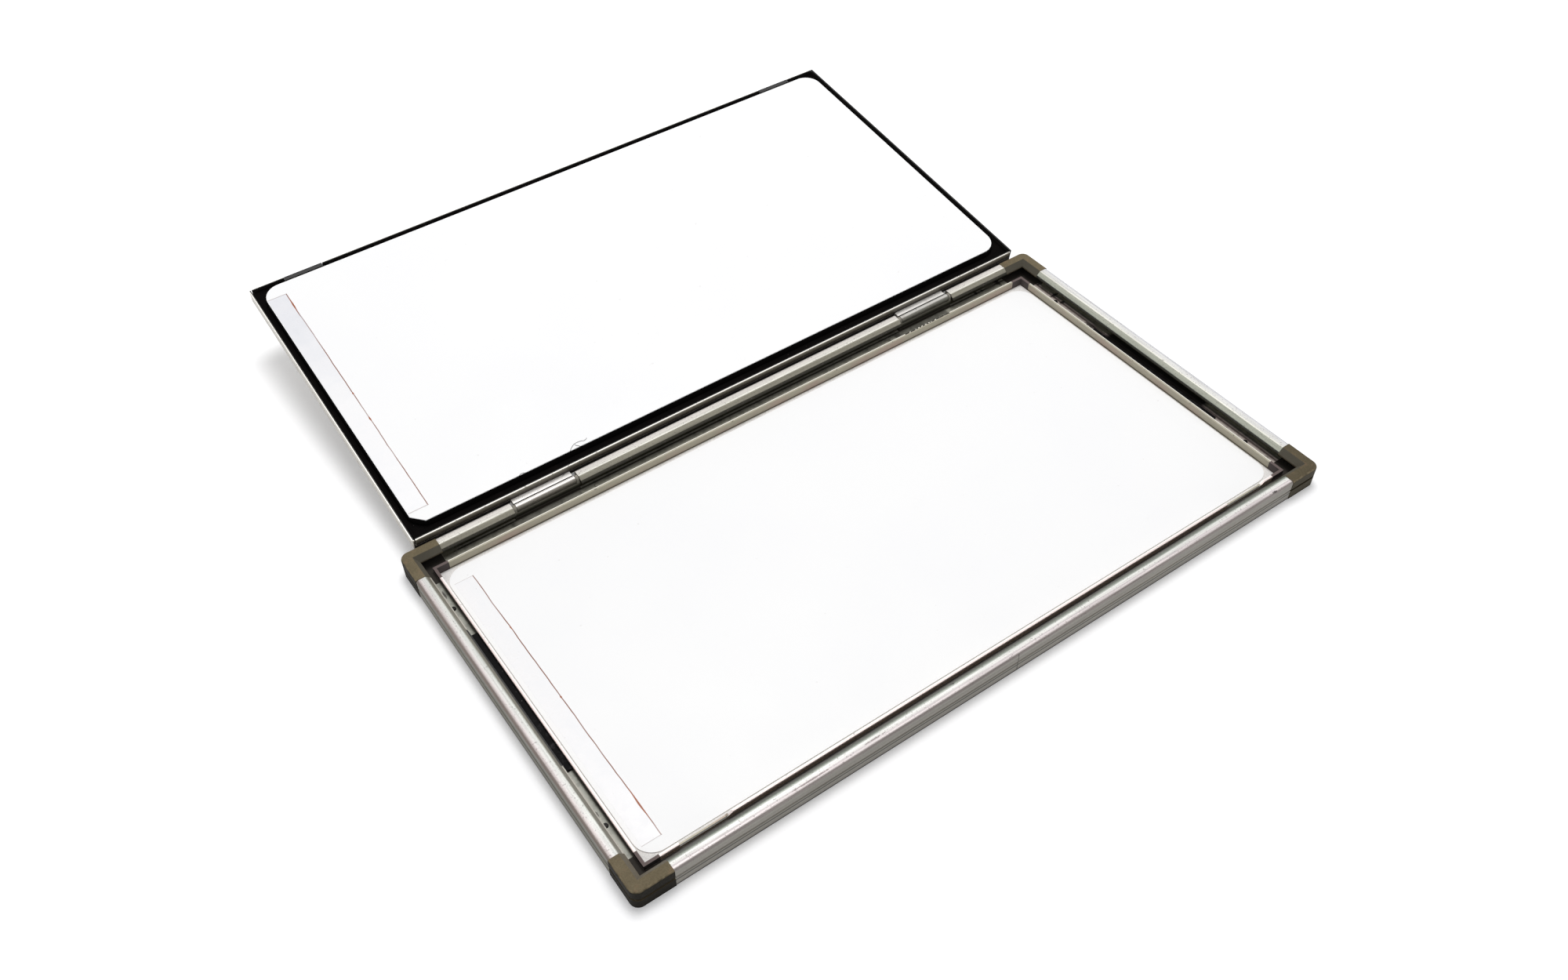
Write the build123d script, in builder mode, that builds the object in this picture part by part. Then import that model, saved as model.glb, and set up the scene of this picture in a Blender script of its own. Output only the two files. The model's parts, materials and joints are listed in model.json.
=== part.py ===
from build123d import *
import os
from math import cos, radians, sin

# X-ray film cassette for 15 x 30 cm film, lying open. Millimetres, +Z up.
# The origin is the centre of the front frame's flat bottom. X runs along the hinge, +Y points towards it.
# An inset is measured inwards from the rails' outer faces. On the open lid, v runs from
# the hinge axis towards the free edge, and w runs square to the lid, from its back towards its screen.

# ---- Front frame: overall size and folded rail section ----
frame_length = 327.0
frame_width = 177.0
frame_height = 9.6
wall = 1.4
top_flat = 4.1
top_thickness = 1.4
top_round = 1.0
lip_edge = 6.1
lip_drop = 2.1
lip_face = 0.6
lip_root = 3.7
lip_round = 0.25
groove_depth = 0.4
groove_low = 4.3
groove_high = 5.5
groove_flare = 0.2
panel_thickness = 1.2
panel_fit = 0.1
web_thickness = 1.4
rim_outer = 9.3
rim_thickness = 1.2
rim_rise = 2.4
rim_round = 0.25

# ---- Moulded corner blocks ----
corner_leg = 15.8
corner_proud = 0.2
corner_radius = 3.5
corner_edge_reach = 14.2

# ---- Notches in the rim (for the latches) and in the back rail (for the hinges) ----
latch_inset = 32.8
rim_notch_width = 18.8
rim_notch_depth = 1.4
rim_notch_run = 2.7
hinge_end_inset = 64.0
hinge_width = 30.2
hinge_end_gap = 0.2
hinge_sill = 6.5

# ---- Channel details ----
slot_length = 4.0
slot_width = 1.2
slot_inset = 5.0
slot_back_inset = 18.0
rivet_radius = 0.7
rivet_head_radius = 1.1
rivet_head = 0.5
rivet_head_taper = 20
rivet_fit = 0.05
side_rivet_end_inset = 31.0
side_rivet_inset = 7.3
end_rivet_end_inset = 85.5
end_rivet_inset = 6.9
strip_width = 2.6
strip_height = 0.9
strip_length = 73.0
strip_rim_gap = 0.1
left_strip_y = 4.8
right_strip_y = -4.0

# ---- Screens, liner and strips ----
liner_thickness = 0.2
liner_gap = 0.2
screen_thickness = 0.4
screen_side_margin = 1.0
screen_end_margin = 2.0
screen_corner = 8.0
screen_cut = 4.8
id_strip_thickness = 0.06
front_id_width = 8.2
front_id_length = 140.0
front_id_inset = 2.8
front_id_y = -0.9
back_screen_shift = -0.5
back_id_inset = 0.3
back_id_width = 8.9
back_id_length = 138.6
back_id_v = 85.0

# ---- Hinges ----
hinge_inset = 3.0
hinge_drop = 1.5
open_tilt = 7.66
pin_radius = 0.75
pin_fit = 0.02
barrel_radius = 1.45
barrel_fit = 0.05
ear_thickness = 1.2
ear_gap = 0.25
block_wall_gap = 0.05
leaf_reach = 8.0
leaf_back_recess = 0.05
leaf_bridge_top = -0.1
leaf_rib_start = 1.9
leaf_rib_top = 0.5
leaf_lid_gap = 0.1
leaf_notch_gap = 0.2
hinge_rivet_radius = 1.1
hinge_rivet_reach = 8.0
leaf_rivet_radius = 0.8
leaf_rivet_head_radius = 1.5
leaf_rivet_head = 0.25
leaf_rivet_taper = 30
leaf_rivet_pitch = 9.5
leaf_rivet_v = 8.8

# ---- Lid ----
lid_side_margin = 7.1
lid_end_margin = 7.4
lid_corner = 1.0
back_sheet = 0.6
band_top = 0.4
pan_sheet = 0.4
pan_band_gap = 0.05
lip_thickness = 0.8
lip_seam = 0.1
lip_seam_rise = 0.05
joggle_rise = 0.7
joggle_bend = 0.25
lip_floor_gap = 1.4
corner_slit = 0.5
foil_thickness = 0.1
seal_rim_gap = 0.3
seal_wall_gap = 0.25
film_gap = 0.2
pad_margin = 0.2
pad_seal_gap = 0.3

# ---- Latches ----
tongue_width = 18.0
tongue_reach = 2.2
tongue_block = 2.2
hook_low = 1.3
hook_high = 2.5
hook_bevel = 0.9
tongue_plate = 1.2
tongue_floor_gap = 0.1
tongue_top_gap = 0.1
tongue_length = 10.6
spring_seat = 1.0
spring_seat_width = 6.0
spring_seat_top = 2.6
latch_travel = 2.2
tongue_side_gap = 0.3
guide_sheet = 0.5
guide_length = 9.4
guide_roof_gap = 0.2
pocket_gap = 0.5
pocket_top_gap = 0.4
spring_space = 4.4
spring_radius = 1.15
spring_wire = 0.15
spring_turns = 5
spring_end_gap = 0.15
stem_width = 8.0
stem_depth = 2.5
stem_start = 2.5
stem_gap = 0.2
button_width = 24.0
button_depth = 8.5
button_height = 1.2
button_lid_gap = 0.1
button_round = 1.5
button_ribs = 5
button_rib_pitch = 1.4
button_rib_width = 0.7
button_rib_depth = 0.4

# ---- Worked out from the sizes above ----
channel_floor = panel_thickness + web_thickness
rim_top = channel_floor + rim_rise
rim_inner = rim_outer + rim_thickness
lip_under = frame_height - top_thickness
lip_top = frame_height - lip_drop
lip_bottom = lip_top - lip_face
well_length = frame_length - 2 * rim_inner
well_width = frame_width - 2 * rim_inner
liner_top = panel_thickness + liner_thickness
front_screen_top = liner_top + screen_thickness
screen_length = well_length - 2 * screen_side_margin
screen_width = well_width - 2 * screen_end_margin
axis_y = frame_width / 2 - hinge_inset
axis_z = frame_height - hinge_drop
block_inner_inset = hinge_inset + barrel_radius
barrel_length = hinge_width - 2 * ear_thickness - 2 * ear_gap
lid_length = frame_length - 2 * lid_side_margin
lid_near = lid_end_margin - hinge_inset
lid_far = frame_width - hinge_inset - lid_end_margin
lid_width = lid_far - lid_near
lid_middle = (lid_near + lid_far) / 2
well_middle = axis_y
back_w = -hinge_drop
pan_w = back_w + back_sheet
pan_floor = pan_w + pan_sheet
foil_top = pan_floor + foil_thickness
lip_tip = axis_z - channel_floor - lip_floor_gap
seal_top = axis_z - rim_top - seal_rim_gap
back_screen_top = axis_z - front_screen_top - film_gap
pad_top = back_screen_top - screen_thickness
pad_length = screen_length + 2 * pad_margin
pad_width = screen_width + 2 * pad_margin
pad_far = well_middle + pad_width / 2
tongue_low = pan_floor + tongue_floor_gap
tongue_high = lip_tip - tongue_top_gap
tongue_rear = lid_far - tongue_length
guide_rear = tongue_rear - spring_space
pocket_low = guide_rear - guide_sheet - pocket_gap
pocket_half = tongue_width / 2 + tongue_side_gap + guide_sheet + pocket_gap
stem_low = tongue_rear + stem_start
stem_high = stem_low + stem_depth

tilt = radians(open_tilt)
hinge_x = frame_length / 2 - hinge_end_inset
latch_x = frame_length / 2 - latch_inset
hinge_places = [-hinge_x, hinge_x]
latch_places = [-latch_x, latch_x]
side_names = ["left", "right"]
lid_plane = Plane(origin=(0, axis_y, axis_z), x_dir=(1, 0, 0), z_dir=(0, -sin(tilt), cos(tilt)))

os.makedirs("parts", exist_ok=True)


def save(piece, name):
    """Give a finished piece its name and write it."""
    piece.part.label = name
    export_step(piece.part, f"parts/{name}.step")


def lid_section(x):
    """Plane across the lid at x: its own x is v and its own y is w."""
    return Plane(origin=(x, axis_y, axis_z), x_dir=(0, cos(tilt), sin(tilt)), z_dir=(1, 0, 0))


def nearest(sketch, point):
    """The corner of a sketch that lies nearest to a point."""
    return sketch.vertices().sort_by_distance(Vector(*point))[0]


def rivet_places():
    """Centres of the channel rivets, seen from above."""
    side_x = frame_length / 2 - side_rivet_inset
    side_y = frame_width / 2 - side_rivet_end_inset
    end_x = frame_length / 2 - end_rivet_end_inset
    end_y = frame_width / 2 - end_rivet_inset
    sides = [(sx * side_x, sy * side_y) for sx in (-1, 1) for sy in (-1, 1)]
    ends = [(sx * end_x, sy * end_y) for sx in (-1, 1) for sy in (-1, 1)]
    return sides + ends


def hinge_rivet_places():
    """Centres of the rivets that hold the hinge blocks."""
    outer = frame_width / 2 - wall - block_wall_gap
    inner = frame_width / 2 - block_inner_inset
    middle = (outer + inner) / 2
    return [(x + side * hinge_rivet_reach, middle) for x in hinge_places for side in (-1, 1)]


# ---------------------------------------------------------------- front frame


def rail_outline():
    """Folded rail section: x is the inset from the outer face, y the height."""
    return [
        (0, 0),
        (0, groove_low),
        (groove_depth, groove_low + groove_flare),
        (groove_depth, groove_high - groove_flare),
        (0, groove_high),
        (0, frame_height),
        (top_flat, frame_height),
        (lip_edge, lip_top),
        (lip_edge, lip_bottom),
        (lip_root, lip_under),
        (wall, lip_under),
        (wall, channel_floor),
        (rim_outer, channel_floor),
        (rim_outer, rim_top),
        (rim_inner, rim_top),
        (rim_inner, panel_thickness),
        (wall, panel_thickness),
        (wall, 0),
    ]


def rail_blank(plane, length):
    """One rail, from its section drawn on the plane, with the rivet holes of the channel."""
    with BuildPart() as rail:
        with BuildSketch(plane) as section:
            with BuildLine():
                Polyline(rail_outline(), close=True)
            make_face()
            fillet(nearest(section, (0, frame_height)), top_round)
            fillet(nearest(section, (top_flat, frame_height)), lip_round)
            fillet(nearest(section, (lip_edge, lip_top)), lip_round)
            fillet(nearest(section, (rim_outer, rim_top)), rim_round)
            fillet(nearest(section, (rim_inner, rim_top)), rim_round)
        extrude(amount=length)
        with BuildSketch(Plane.XY):
            with Locations(*rivet_places()):
                Circle(rivet_radius + rivet_fit)
            with Locations(*hinge_rivet_places()):
                Circle(hinge_rivet_radius + rivet_fit)
        extrude(amount=channel_floor, mode=Mode.SUBTRACT)
    return rail


long_rail = frame_length - 2 * corner_leg
short_rail = frame_width - 2 * corner_leg

front_plane = Plane(origin=(-long_rail / 2, -frame_width / 2, 0), x_dir=(0, 1, 0), z_dir=(1, 0, 0))
back_plane = Plane(origin=(long_rail / 2, frame_width / 2, 0), x_dir=(0, -1, 0), z_dir=(-1, 0, 0))
left_plane = Plane(origin=(-frame_length / 2, short_rail / 2, 0), x_dir=(1, 0, 0), z_dir=(0, -1, 0))
right_plane = Plane(origin=(frame_length / 2, -short_rail / 2, 0), x_dir=(-1, 0, 0), z_dir=(0, 1, 0))

# Front rail, with a notch in its rim for each latch: square at the left end, sloped at the right.
front_blank = rail_blank(front_plane, long_rail)
rim_face_y = -frame_width / 2 + rim_inner + rim_thickness
rim_face = Plane(origin=(0, rim_face_y, 0), x_dir=(1, 0, 0), z_dir=(0, -1, 0))
with BuildPart() as rail_front:
    add(front_blank.part)
    for notch_x in latch_places:
        notch_start = notch_x - rim_notch_width / 2
        notch_end = notch_x + rim_notch_width / 2
        notch_bottom = rim_top - rim_notch_depth
        with BuildSketch(rim_face):
            with BuildLine():
                Polyline(
                    (notch_start, notch_bottom),
                    (notch_end, notch_bottom),
                    (notch_end + rim_notch_run, rim_top),
                    (notch_end + rim_notch_run, frame_height),
                    (notch_start, frame_height),
                    close=True,
                )
            make_face()
        extrude(amount=2 * rim_thickness + rim_round, mode=Mode.SUBTRACT)
save(rail_front, "rail_front")

# Back rail, with its lip and the top of its outer wall cut away where the hinges sit.
back_blank = rail_blank(back_plane, long_rail)
with BuildPart() as rail_back:
    add(back_blank.part)
    with BuildSketch(Plane.XY.offset(hinge_sill)):
        with Locations(*[(x, frame_width / 2) for x in hinge_places]):
            Rectangle(hinge_width + 2 * hinge_end_gap, 2 * rim_outer)
    extrude(amount=frame_height, mode=Mode.SUBTRACT)
save(rail_back, "rail_back")

# Left rail, with a short slot across its channel floor.
left_blank = rail_blank(left_plane, short_rail)
with BuildPart() as rail_left:
    add(left_blank.part)
    with BuildSketch(Plane.XY):
        with Locations((-frame_length / 2 + slot_inset, frame_width / 2 - slot_back_inset)):
            SlotOverall(slot_length, slot_width)
    extrude(amount=channel_floor, mode=Mode.SUBTRACT)
save(rail_left, "rail_left")

rail_right = rail_blank(right_plane, short_rail)
save(rail_right, "rail_right")

# Corner blocks. The front left one is made, and the others are its mirror images.
corner_x = -frame_length / 2
corner_y = -frame_width / 2
corner_height = frame_height + corner_proud
mitre = Plane(origin=(corner_x, corner_y, 0), z_dir=(1, -1, 0))

# The space inside a corner block: channel, well and everything above the rim, turning the corner.
with BuildPart() as corner_space:
    with BuildSketch(Plane(origin=(corner_x, corner_y, 0), x_dir=(0, 1, 0), z_dir=(1, 0, 0))):
        with BuildLine():
            Polyline(
                (wall, channel_floor),
                (wall, lip_under),
                (lip_root, lip_under),
                (lip_edge, lip_bottom),
                (lip_edge, lip_top),
                (top_flat, corner_height),
                (top_flat, corner_height + top_thickness),
                (2 * corner_leg, corner_height + top_thickness),
                (2 * corner_leg, panel_thickness),
                (rim_inner, panel_thickness),
                (rim_inner, rim_top),
                (rim_outer, rim_top),
                (rim_outer, channel_floor),
                close=True,
            )
        make_face()
    extrude(amount=2 * corner_leg)
    split(bisect_by=mitre, keep=Keep.TOP)
    mirror(about=mitre)

with BuildPart() as corner_front_left:
    corner_layers = [
        (0, groove_low, 0),
        (groove_low, groove_high, groove_depth + corner_proud),
        (groove_high, corner_height, 0),
    ]
    for layer_low, layer_high, layer_inset in corner_layers:
        with BuildSketch(Plane.XY.offset(layer_low)) as plan:
            layer_x = corner_x - corner_proud + layer_inset
            layer_y = corner_y - corner_proud + layer_inset
            layer_side = corner_leg + corner_proud - layer_inset
            with Locations((layer_x, layer_y)):
                Rectangle(layer_side, layer_side, align=(Align.MIN, Align.MIN))
            fillet(nearest(plan, (layer_x, layer_y)), corner_radius - layer_inset)
        extrude(amount=layer_high - layer_low)
    top_edges = corner_front_left.edges().group_by(Axis.Z)[-1]
    outer_edges = top_edges.filter_by(
        lambda edge: max(edge.center().X - corner_x, edge.center().Y - corner_y) < corner_edge_reach
    )
    fillet(outer_edges, top_round)
    add(corner_space.part, mode=Mode.SUBTRACT)
    with BuildSketch(Plane.XY):
        with Locations((corner_x + wall, corner_y + wall)):
            Rectangle(2 * corner_leg, 2 * corner_leg, align=(Align.MIN, Align.MIN))
    extrude(amount=panel_thickness, mode=Mode.SUBTRACT)
save(corner_front_left, "corner_front_left")

with BuildPart() as corner_front_right:
    mirror(corner_front_left.part, about=Plane.YZ)
save(corner_front_right, "corner_front_right")

with BuildPart() as corner_back_left:
    mirror(corner_front_left.part, about=Plane.XZ)
save(corner_back_left, "corner_back_left")

with BuildPart() as corner_back_right:
    mirror(corner_front_right.part, about=Plane.XZ)
save(corner_back_right, "corner_back_right")

# Front panel: the flat sheet inside the rails' outer walls, with its rivet holes.
with BuildPart() as front_panel:
    with BuildSketch(Plane.XY):
        Rectangle(frame_length - 2 * (wall + panel_fit), frame_width - 2 * (wall + panel_fit))
        with Locations(*rivet_places()):
            Circle(rivet_radius + rivet_fit, mode=Mode.SUBTRACT)
        with Locations(*hinge_rivet_places()):
            Circle(hinge_rivet_radius + rivet_fit, mode=Mode.SUBTRACT)
    extrude(amount=panel_thickness)
save(front_panel, "front_panel")

with BuildPart() as front_liner:
    with BuildSketch(Plane.XY.offset(panel_thickness)):
        Rectangle(well_length - 2 * liner_gap, well_width - 2 * liner_gap)
    extrude(amount=liner_thickness)
save(front_liner, "front_liner")

with BuildPart() as front_screen:
    with BuildSketch(Plane.XY.offset(liner_top)):
        RectangleRounded(screen_length, screen_width, screen_corner)
    extrude(amount=screen_thickness)
save(front_screen, "front_screen")

front_id_x = -well_length / 2 + front_id_inset + front_id_width / 2
with BuildPart() as front_id_strip:
    with BuildSketch(Plane.XY.offset(front_screen_top)):
        with Locations((front_id_x, front_id_y)):
            Rectangle(front_id_width, front_id_length)
    extrude(amount=id_strip_thickness)
save(front_id_strip, "front_id_strip")

# Black strips on the channel floor, beside the rim.
strip_x = frame_length / 2 - rim_outer + strip_rim_gap + strip_width / 2
strip_spots = [(-strip_x, left_strip_y), (strip_x, right_strip_y)]
for side_name, strip_spot in zip(side_names, strip_spots):
    with BuildPart() as seal_strip:
        with BuildSketch(Plane.XY.offset(channel_floor)):
            with Locations(strip_spot):
                Rectangle(strip_width, strip_length)
        extrude(amount=strip_height)
    save(seal_strip, f"seal_strip_{side_name}")

with BuildPart() as channel_rivets:
    with BuildSketch(Plane.XY):
        with Locations(*rivet_places()):
            Circle(rivet_radius)
    extrude(amount=channel_floor)
    with BuildSketch(Plane.XY.offset(channel_floor)):
        with Locations(*rivet_places()):
            Circle(rivet_head_radius)
    extrude(amount=rivet_head, taper=rivet_head_taper)
save(channel_rivets, "channel_rivets")

# ---------------------------------------------------------------- hinges

block_outer_y = frame_width / 2 - wall - block_wall_gap
block_inner_y = frame_width / 2 - block_inner_inset


def hinge_plane(x):
    """Plane across the hinge at x: its own x is the frame's Y and its own y is Z."""
    return Plane(origin=(x, 0, 0), x_dir=(0, 1, 0), z_dir=(1, 0, 0))


for side_name, x in zip(side_names, hinge_places):
    # Fixed block on the channel floor, with an ear at each end for the pin.
    with BuildPart() as hinge_block:
        with BuildSketch(hinge_plane(x - hinge_width / 2)):
            with Locations((block_inner_y, channel_floor)):
                Rectangle(
                    block_outer_y - block_inner_y,
                    hinge_sill - channel_floor,
                    align=(Align.MIN, Align.MIN),
                )
        extrude(amount=hinge_width)
        for ear_start in (x - hinge_width / 2, x + hinge_width / 2 - ear_thickness):
            with BuildSketch(hinge_plane(ear_start)):
                with Locations((axis_y, axis_z)):
                    Circle(barrel_radius)
                with Locations((axis_y, channel_floor)):
                    Rectangle(
                        2 * barrel_radius,
                        axis_z - channel_floor,
                        align=(Align.CENTER, Align.MIN),
                    )
            extrude(amount=ear_thickness)
        with BuildSketch(hinge_plane(x - hinge_width / 2)):
            with Locations((axis_y, axis_z)):
                Circle(pin_radius + pin_fit)
        extrude(amount=hinge_width, mode=Mode.SUBTRACT)
        with BuildSketch(Plane.XY.offset(channel_floor)):
            with Locations(*hinge_rivet_places()):
                Circle(hinge_rivet_radius + rivet_fit)
        extrude(amount=hinge_sill - channel_floor, mode=Mode.SUBTRACT)
    save(hinge_block, f"hinge_block_{side_name}")

    with BuildPart() as hinge_pin:
        with BuildSketch(hinge_plane(x - hinge_width / 2)):
            with Locations((axis_y, axis_z)):
                Circle(pin_radius)
        extrude(amount=hinge_width)
    save(hinge_pin, f"hinge_pin_{side_name}")

    # Barrel and leaf in one piece. The thin end of the leaf lies in a notch of the lid's back panel.
    leaf_back = back_w + leaf_back_recess
    leaf_top = pan_w
    leaf_end = lid_near + leaf_reach
    with BuildPart() as hinge_leaf:
        with BuildSketch(lid_section(x - barrel_length / 2)) as leaf_profile:
            with BuildLine():
                Polyline(
                    (0, leaf_back),
                    (leaf_end, leaf_back),
                    (leaf_end, leaf_top),
                    (lid_near - leaf_lid_gap, leaf_top),
                    (lid_near - leaf_lid_gap, leaf_rib_top),
                    (leaf_rib_start, leaf_rib_top),
                    (leaf_rib_start, leaf_bridge_top),
                    (0, leaf_bridge_top),
                    close=True,
                )
            make_face()
            Circle(barrel_radius)
            Circle(pin_radius + barrel_fit, mode=Mode.SUBTRACT)
        extrude(amount=barrel_length)
        with BuildSketch(lid_plane.offset(leaf_back)):
            with Locations(*[(x + side * leaf_rivet_pitch, leaf_rivet_v) for side in (-1, 0, 1)]):
                Circle(leaf_rivet_radius + rivet_fit)
        extrude(amount=leaf_top - leaf_back, mode=Mode.SUBTRACT)
    save(hinge_leaf, f"hinge_leaf_{side_name}")

with BuildPart() as hinge_rivets:
    with BuildSketch(Plane.XY):
        with Locations(*hinge_rivet_places()):
            Circle(hinge_rivet_radius)
    extrude(amount=hinge_sill)
save(hinge_rivets, "hinge_rivets")

leaf_rivet_spots = [(x + side * leaf_rivet_pitch, leaf_rivet_v) for x in hinge_places for side in (-1, 0, 1)]
with BuildPart() as leaf_rivets:
    with BuildSketch(lid_plane.offset(pan_floor)):
        with Locations(*leaf_rivet_spots):
            Circle(leaf_rivet_radius)
    extrude(amount=leaf_back - pan_floor)
    with BuildSketch(lid_plane.offset(leaf_back)):
        with Locations(*leaf_rivet_spots):
            Circle(leaf_rivet_head_radius)
    extrude(amount=-leaf_rivet_head, taper=leaf_rivet_taper)
save(leaf_rivets, "leaf_rivets")

# ---------------------------------------------------------------- lid

half_length = lid_length / 2


def lid_block(x, v, length, depth, low, high, mode):
    """A square-cornered block on the lid: centre x, starting v, sizes along x and v, and its two levels."""
    with BuildSketch(lid_plane.offset(low)) as block:
        with Locations((x, v)):
            Rectangle(length, depth, align=(Align.CENTER, Align.MIN))
    extrude(block.sketch, amount=high - low, mode=mode)


tongue_gap_width = tongue_width + 2 * tongue_side_gap
tongue_gap_depth = lid_far + tongue_reach - pad_far
slot_low = stem_low - latch_travel - stem_gap
slot_depth = stem_high + stem_gap - slot_low

# Outer sheet of the lid, with its edges folded up into a low side band.
with BuildPart() as back_panel:
    with BuildSketch(lid_plane.offset(back_w)):
        with Locations((0, lid_middle)):
            RectangleRounded(lid_length, lid_width, lid_corner)
    extrude(amount=band_top - back_w)
    with BuildSketch(lid_plane.offset(pan_w)):
        with Locations((0, lid_middle)):
            RectangleRounded(lid_length - 2 * back_sheet, lid_width - 2 * back_sheet, lid_corner - back_sheet)
    extrude(amount=band_top - pan_w, mode=Mode.SUBTRACT)
    for x in hinge_places:
        lid_block(
            x,
            0,
            barrel_length + 2 * leaf_notch_gap,
            leaf_end + leaf_notch_gap,
            back_w,
            band_top,
            Mode.SUBTRACT,
        )
    for x in latch_places:
        lid_block(x, slot_low, stem_width + 2 * stem_gap, slot_depth, back_w, pan_w, Mode.SUBTRACT)
        lid_block(x, pad_far, tongue_gap_width, tongue_gap_depth, pan_floor, band_top, Mode.SUBTRACT)
save(back_panel, "back_panel")

# Inner pan of the lid. Each side stands up inside the band, then steps out to the lid's own edge.
wall_inset = back_sheet + pan_band_gap
seam_w = band_top + lip_seam


def lip_outline():
    """Section of a pan side: x is the inset from the lid's edge, y is w."""
    return [
        (wall_inset, pan_w),
        (wall_inset, seam_w - lip_seam_rise),
        (0, seam_w),
        (0, lip_tip),
        (lip_thickness, lip_tip),
        (lip_thickness, seam_w + joggle_rise),
        (wall_inset + pan_sheet, seam_w + joggle_rise - joggle_bend),
        (wall_inset + pan_sheet, pan_w),
    ]


across = Vector(0, cos(tilt), sin(tilt))
lid_origin = Vector(0, axis_y, axis_z)


def lip_plane(x, v, inward):
    """Plane of a lip section that starts at x, v on the lid's edge, with its own x pointing inward."""
    origin = lid_origin + Vector(x, 0, 0) + across * v
    return Plane(origin=origin, x_dir=inward, z_dir=inward.cross(lid_plane.z_dir))


along = Vector(1, 0, 0)
side_lips = [
    (lip_plane(-half_length, lid_far, along), lid_width),
    (lip_plane(half_length, lid_near, along * -1), lid_width),
]
end_start = half_length - lip_thickness - corner_slit
end_lips = [
    (lip_plane(-end_start, lid_near, across), 2 * end_start),
    (lip_plane(end_start, lid_far, across * -1), 2 * end_start),
]

with BuildPart() as lid_pan:
    with BuildSketch(lid_plane.offset(pan_w)):
        with Locations((0, lid_middle)):
            RectangleRounded(
                lid_length - 2 * wall_inset,
                lid_width - 2 * wall_inset,
                lid_corner - wall_inset,
            )
    extrude(amount=pan_sheet)
    for lip_start, lip_length in side_lips + end_lips:
        with BuildSketch(lip_start):
            with BuildLine():
                Polyline(lip_outline(), close=True)
            make_face()
        extrude(amount=lip_length)
    with BuildSketch(lid_plane.offset(pan_w)):
        with Locations((0, lid_middle)):
            RectangleRounded(lid_length, lid_width, lid_corner)
    extrude(amount=lip_tip - pan_w, mode=Mode.INTERSECT)
    with BuildSketch(lid_plane.offset(pan_w)):
        with Locations((0, lid_middle)):
            Rectangle(2 * lid_length, 2 * lid_width)
            RectangleRounded(
                lid_length - 2 * wall_inset,
                lid_width - 2 * wall_inset,
                lid_corner - wall_inset,
                mode=Mode.SUBTRACT,
            )
    extrude(amount=band_top - pan_w, mode=Mode.SUBTRACT)
    for x in latch_places:
        lid_block(x, slot_low, stem_width + 2 * stem_gap, slot_depth, pan_w, pan_floor, Mode.SUBTRACT)
        lid_block(x, pad_far, tongue_gap_width, tongue_gap_depth, pan_floor, lip_tip, Mode.SUBTRACT)
    with BuildSketch(lid_plane.offset(pan_w)):
        with Locations(*leaf_rivet_spots):
            Circle(leaf_rivet_radius + rivet_fit)
    extrude(amount=pan_sheet, mode=Mode.SUBTRACT)
save(lid_pan, "lid_pan")

pocket_length = pad_far - pocket_low
pocket_top = tongue_high + pocket_top_gap

with BuildPart() as lead_foil:
    with BuildSketch(lid_plane.offset(pan_floor)):
        with Locations((0, well_middle)):
            RectangleRounded(screen_length, screen_width, screen_corner)
    extrude(amount=foil_thickness)
    for x in latch_places:
        lid_block(x, pocket_low, 2 * pocket_half, pocket_length, pan_floor, foil_top, Mode.SUBTRACT)
save(lead_foil, "lead_foil")

# Thick foam under the back screen, with a pocket over each latch.
with BuildPart() as pressure_pad:
    with BuildSketch(lid_plane.offset(foil_top)):
        with Locations((back_screen_shift, well_middle)):
            RectangleRounded(pad_length, pad_width, screen_corner + pad_margin)
    extrude(amount=pad_top - foil_top)
    for x in latch_places:
        lid_block(x, pocket_low, 2 * pocket_half, 2 * pocket_length, foil_top, pocket_top, Mode.SUBTRACT)
save(pressure_pad, "pressure_pad")

# Foam border between the lips and the pad, parted where the latches come through.
seal_inset = lip_thickness + wall_inset - back_sheet + pan_sheet + seal_wall_gap
with BuildPart() as seal_foam:
    with BuildSketch(lid_plane.offset(pan_floor)):
        with Locations((0, lid_middle)):
            Rectangle(lid_length - 2 * seal_inset, lid_width - 2 * seal_inset)
        with Locations((back_screen_shift, well_middle)):
            RectangleRounded(
                pad_length + 2 * pad_seal_gap,
                pad_width + 2 * pad_seal_gap,
                screen_corner + pad_margin + pad_seal_gap,
                mode=Mode.SUBTRACT,
            )
    extrude(amount=seal_top - pan_floor)
    for x in latch_places:
        lid_block(x, pad_far, tongue_gap_width, tongue_gap_depth, pan_floor, seal_top, Mode.SUBTRACT)
save(seal_foam, "seal_foam")

screen_left = back_screen_shift - screen_length / 2
screen_right = back_screen_shift + screen_length / 2
screen_near = well_middle - screen_width / 2
screen_far = well_middle + screen_width / 2
with BuildPart() as back_screen:
    with BuildSketch(lid_plane.offset(pad_top)) as screen_plan:
        with Locations((back_screen_shift, well_middle)):
            Rectangle(screen_length, screen_width)
        chamfer(nearest(screen_plan, (screen_left, screen_near)), screen_cut)
        fillet(nearest(screen_plan, (screen_right, screen_near)), screen_corner)
        fillet(nearest(screen_plan, (screen_left, screen_far)), screen_corner)
        fillet(nearest(screen_plan, (screen_right, screen_far)), screen_corner)
    extrude(amount=screen_thickness)
save(back_screen, "back_screen")

back_id_x = screen_left + back_id_inset + back_id_width / 2
with BuildPart() as back_id_strip:
    with BuildSketch(lid_plane.offset(back_screen_top)):
        with Locations((back_id_x, back_id_v)):
            Rectangle(back_id_width, back_id_length)
    extrude(amount=id_strip_thickness)
save(back_id_strip, "back_id_strip")

# ---------------------------------------------------------------- latches

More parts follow.
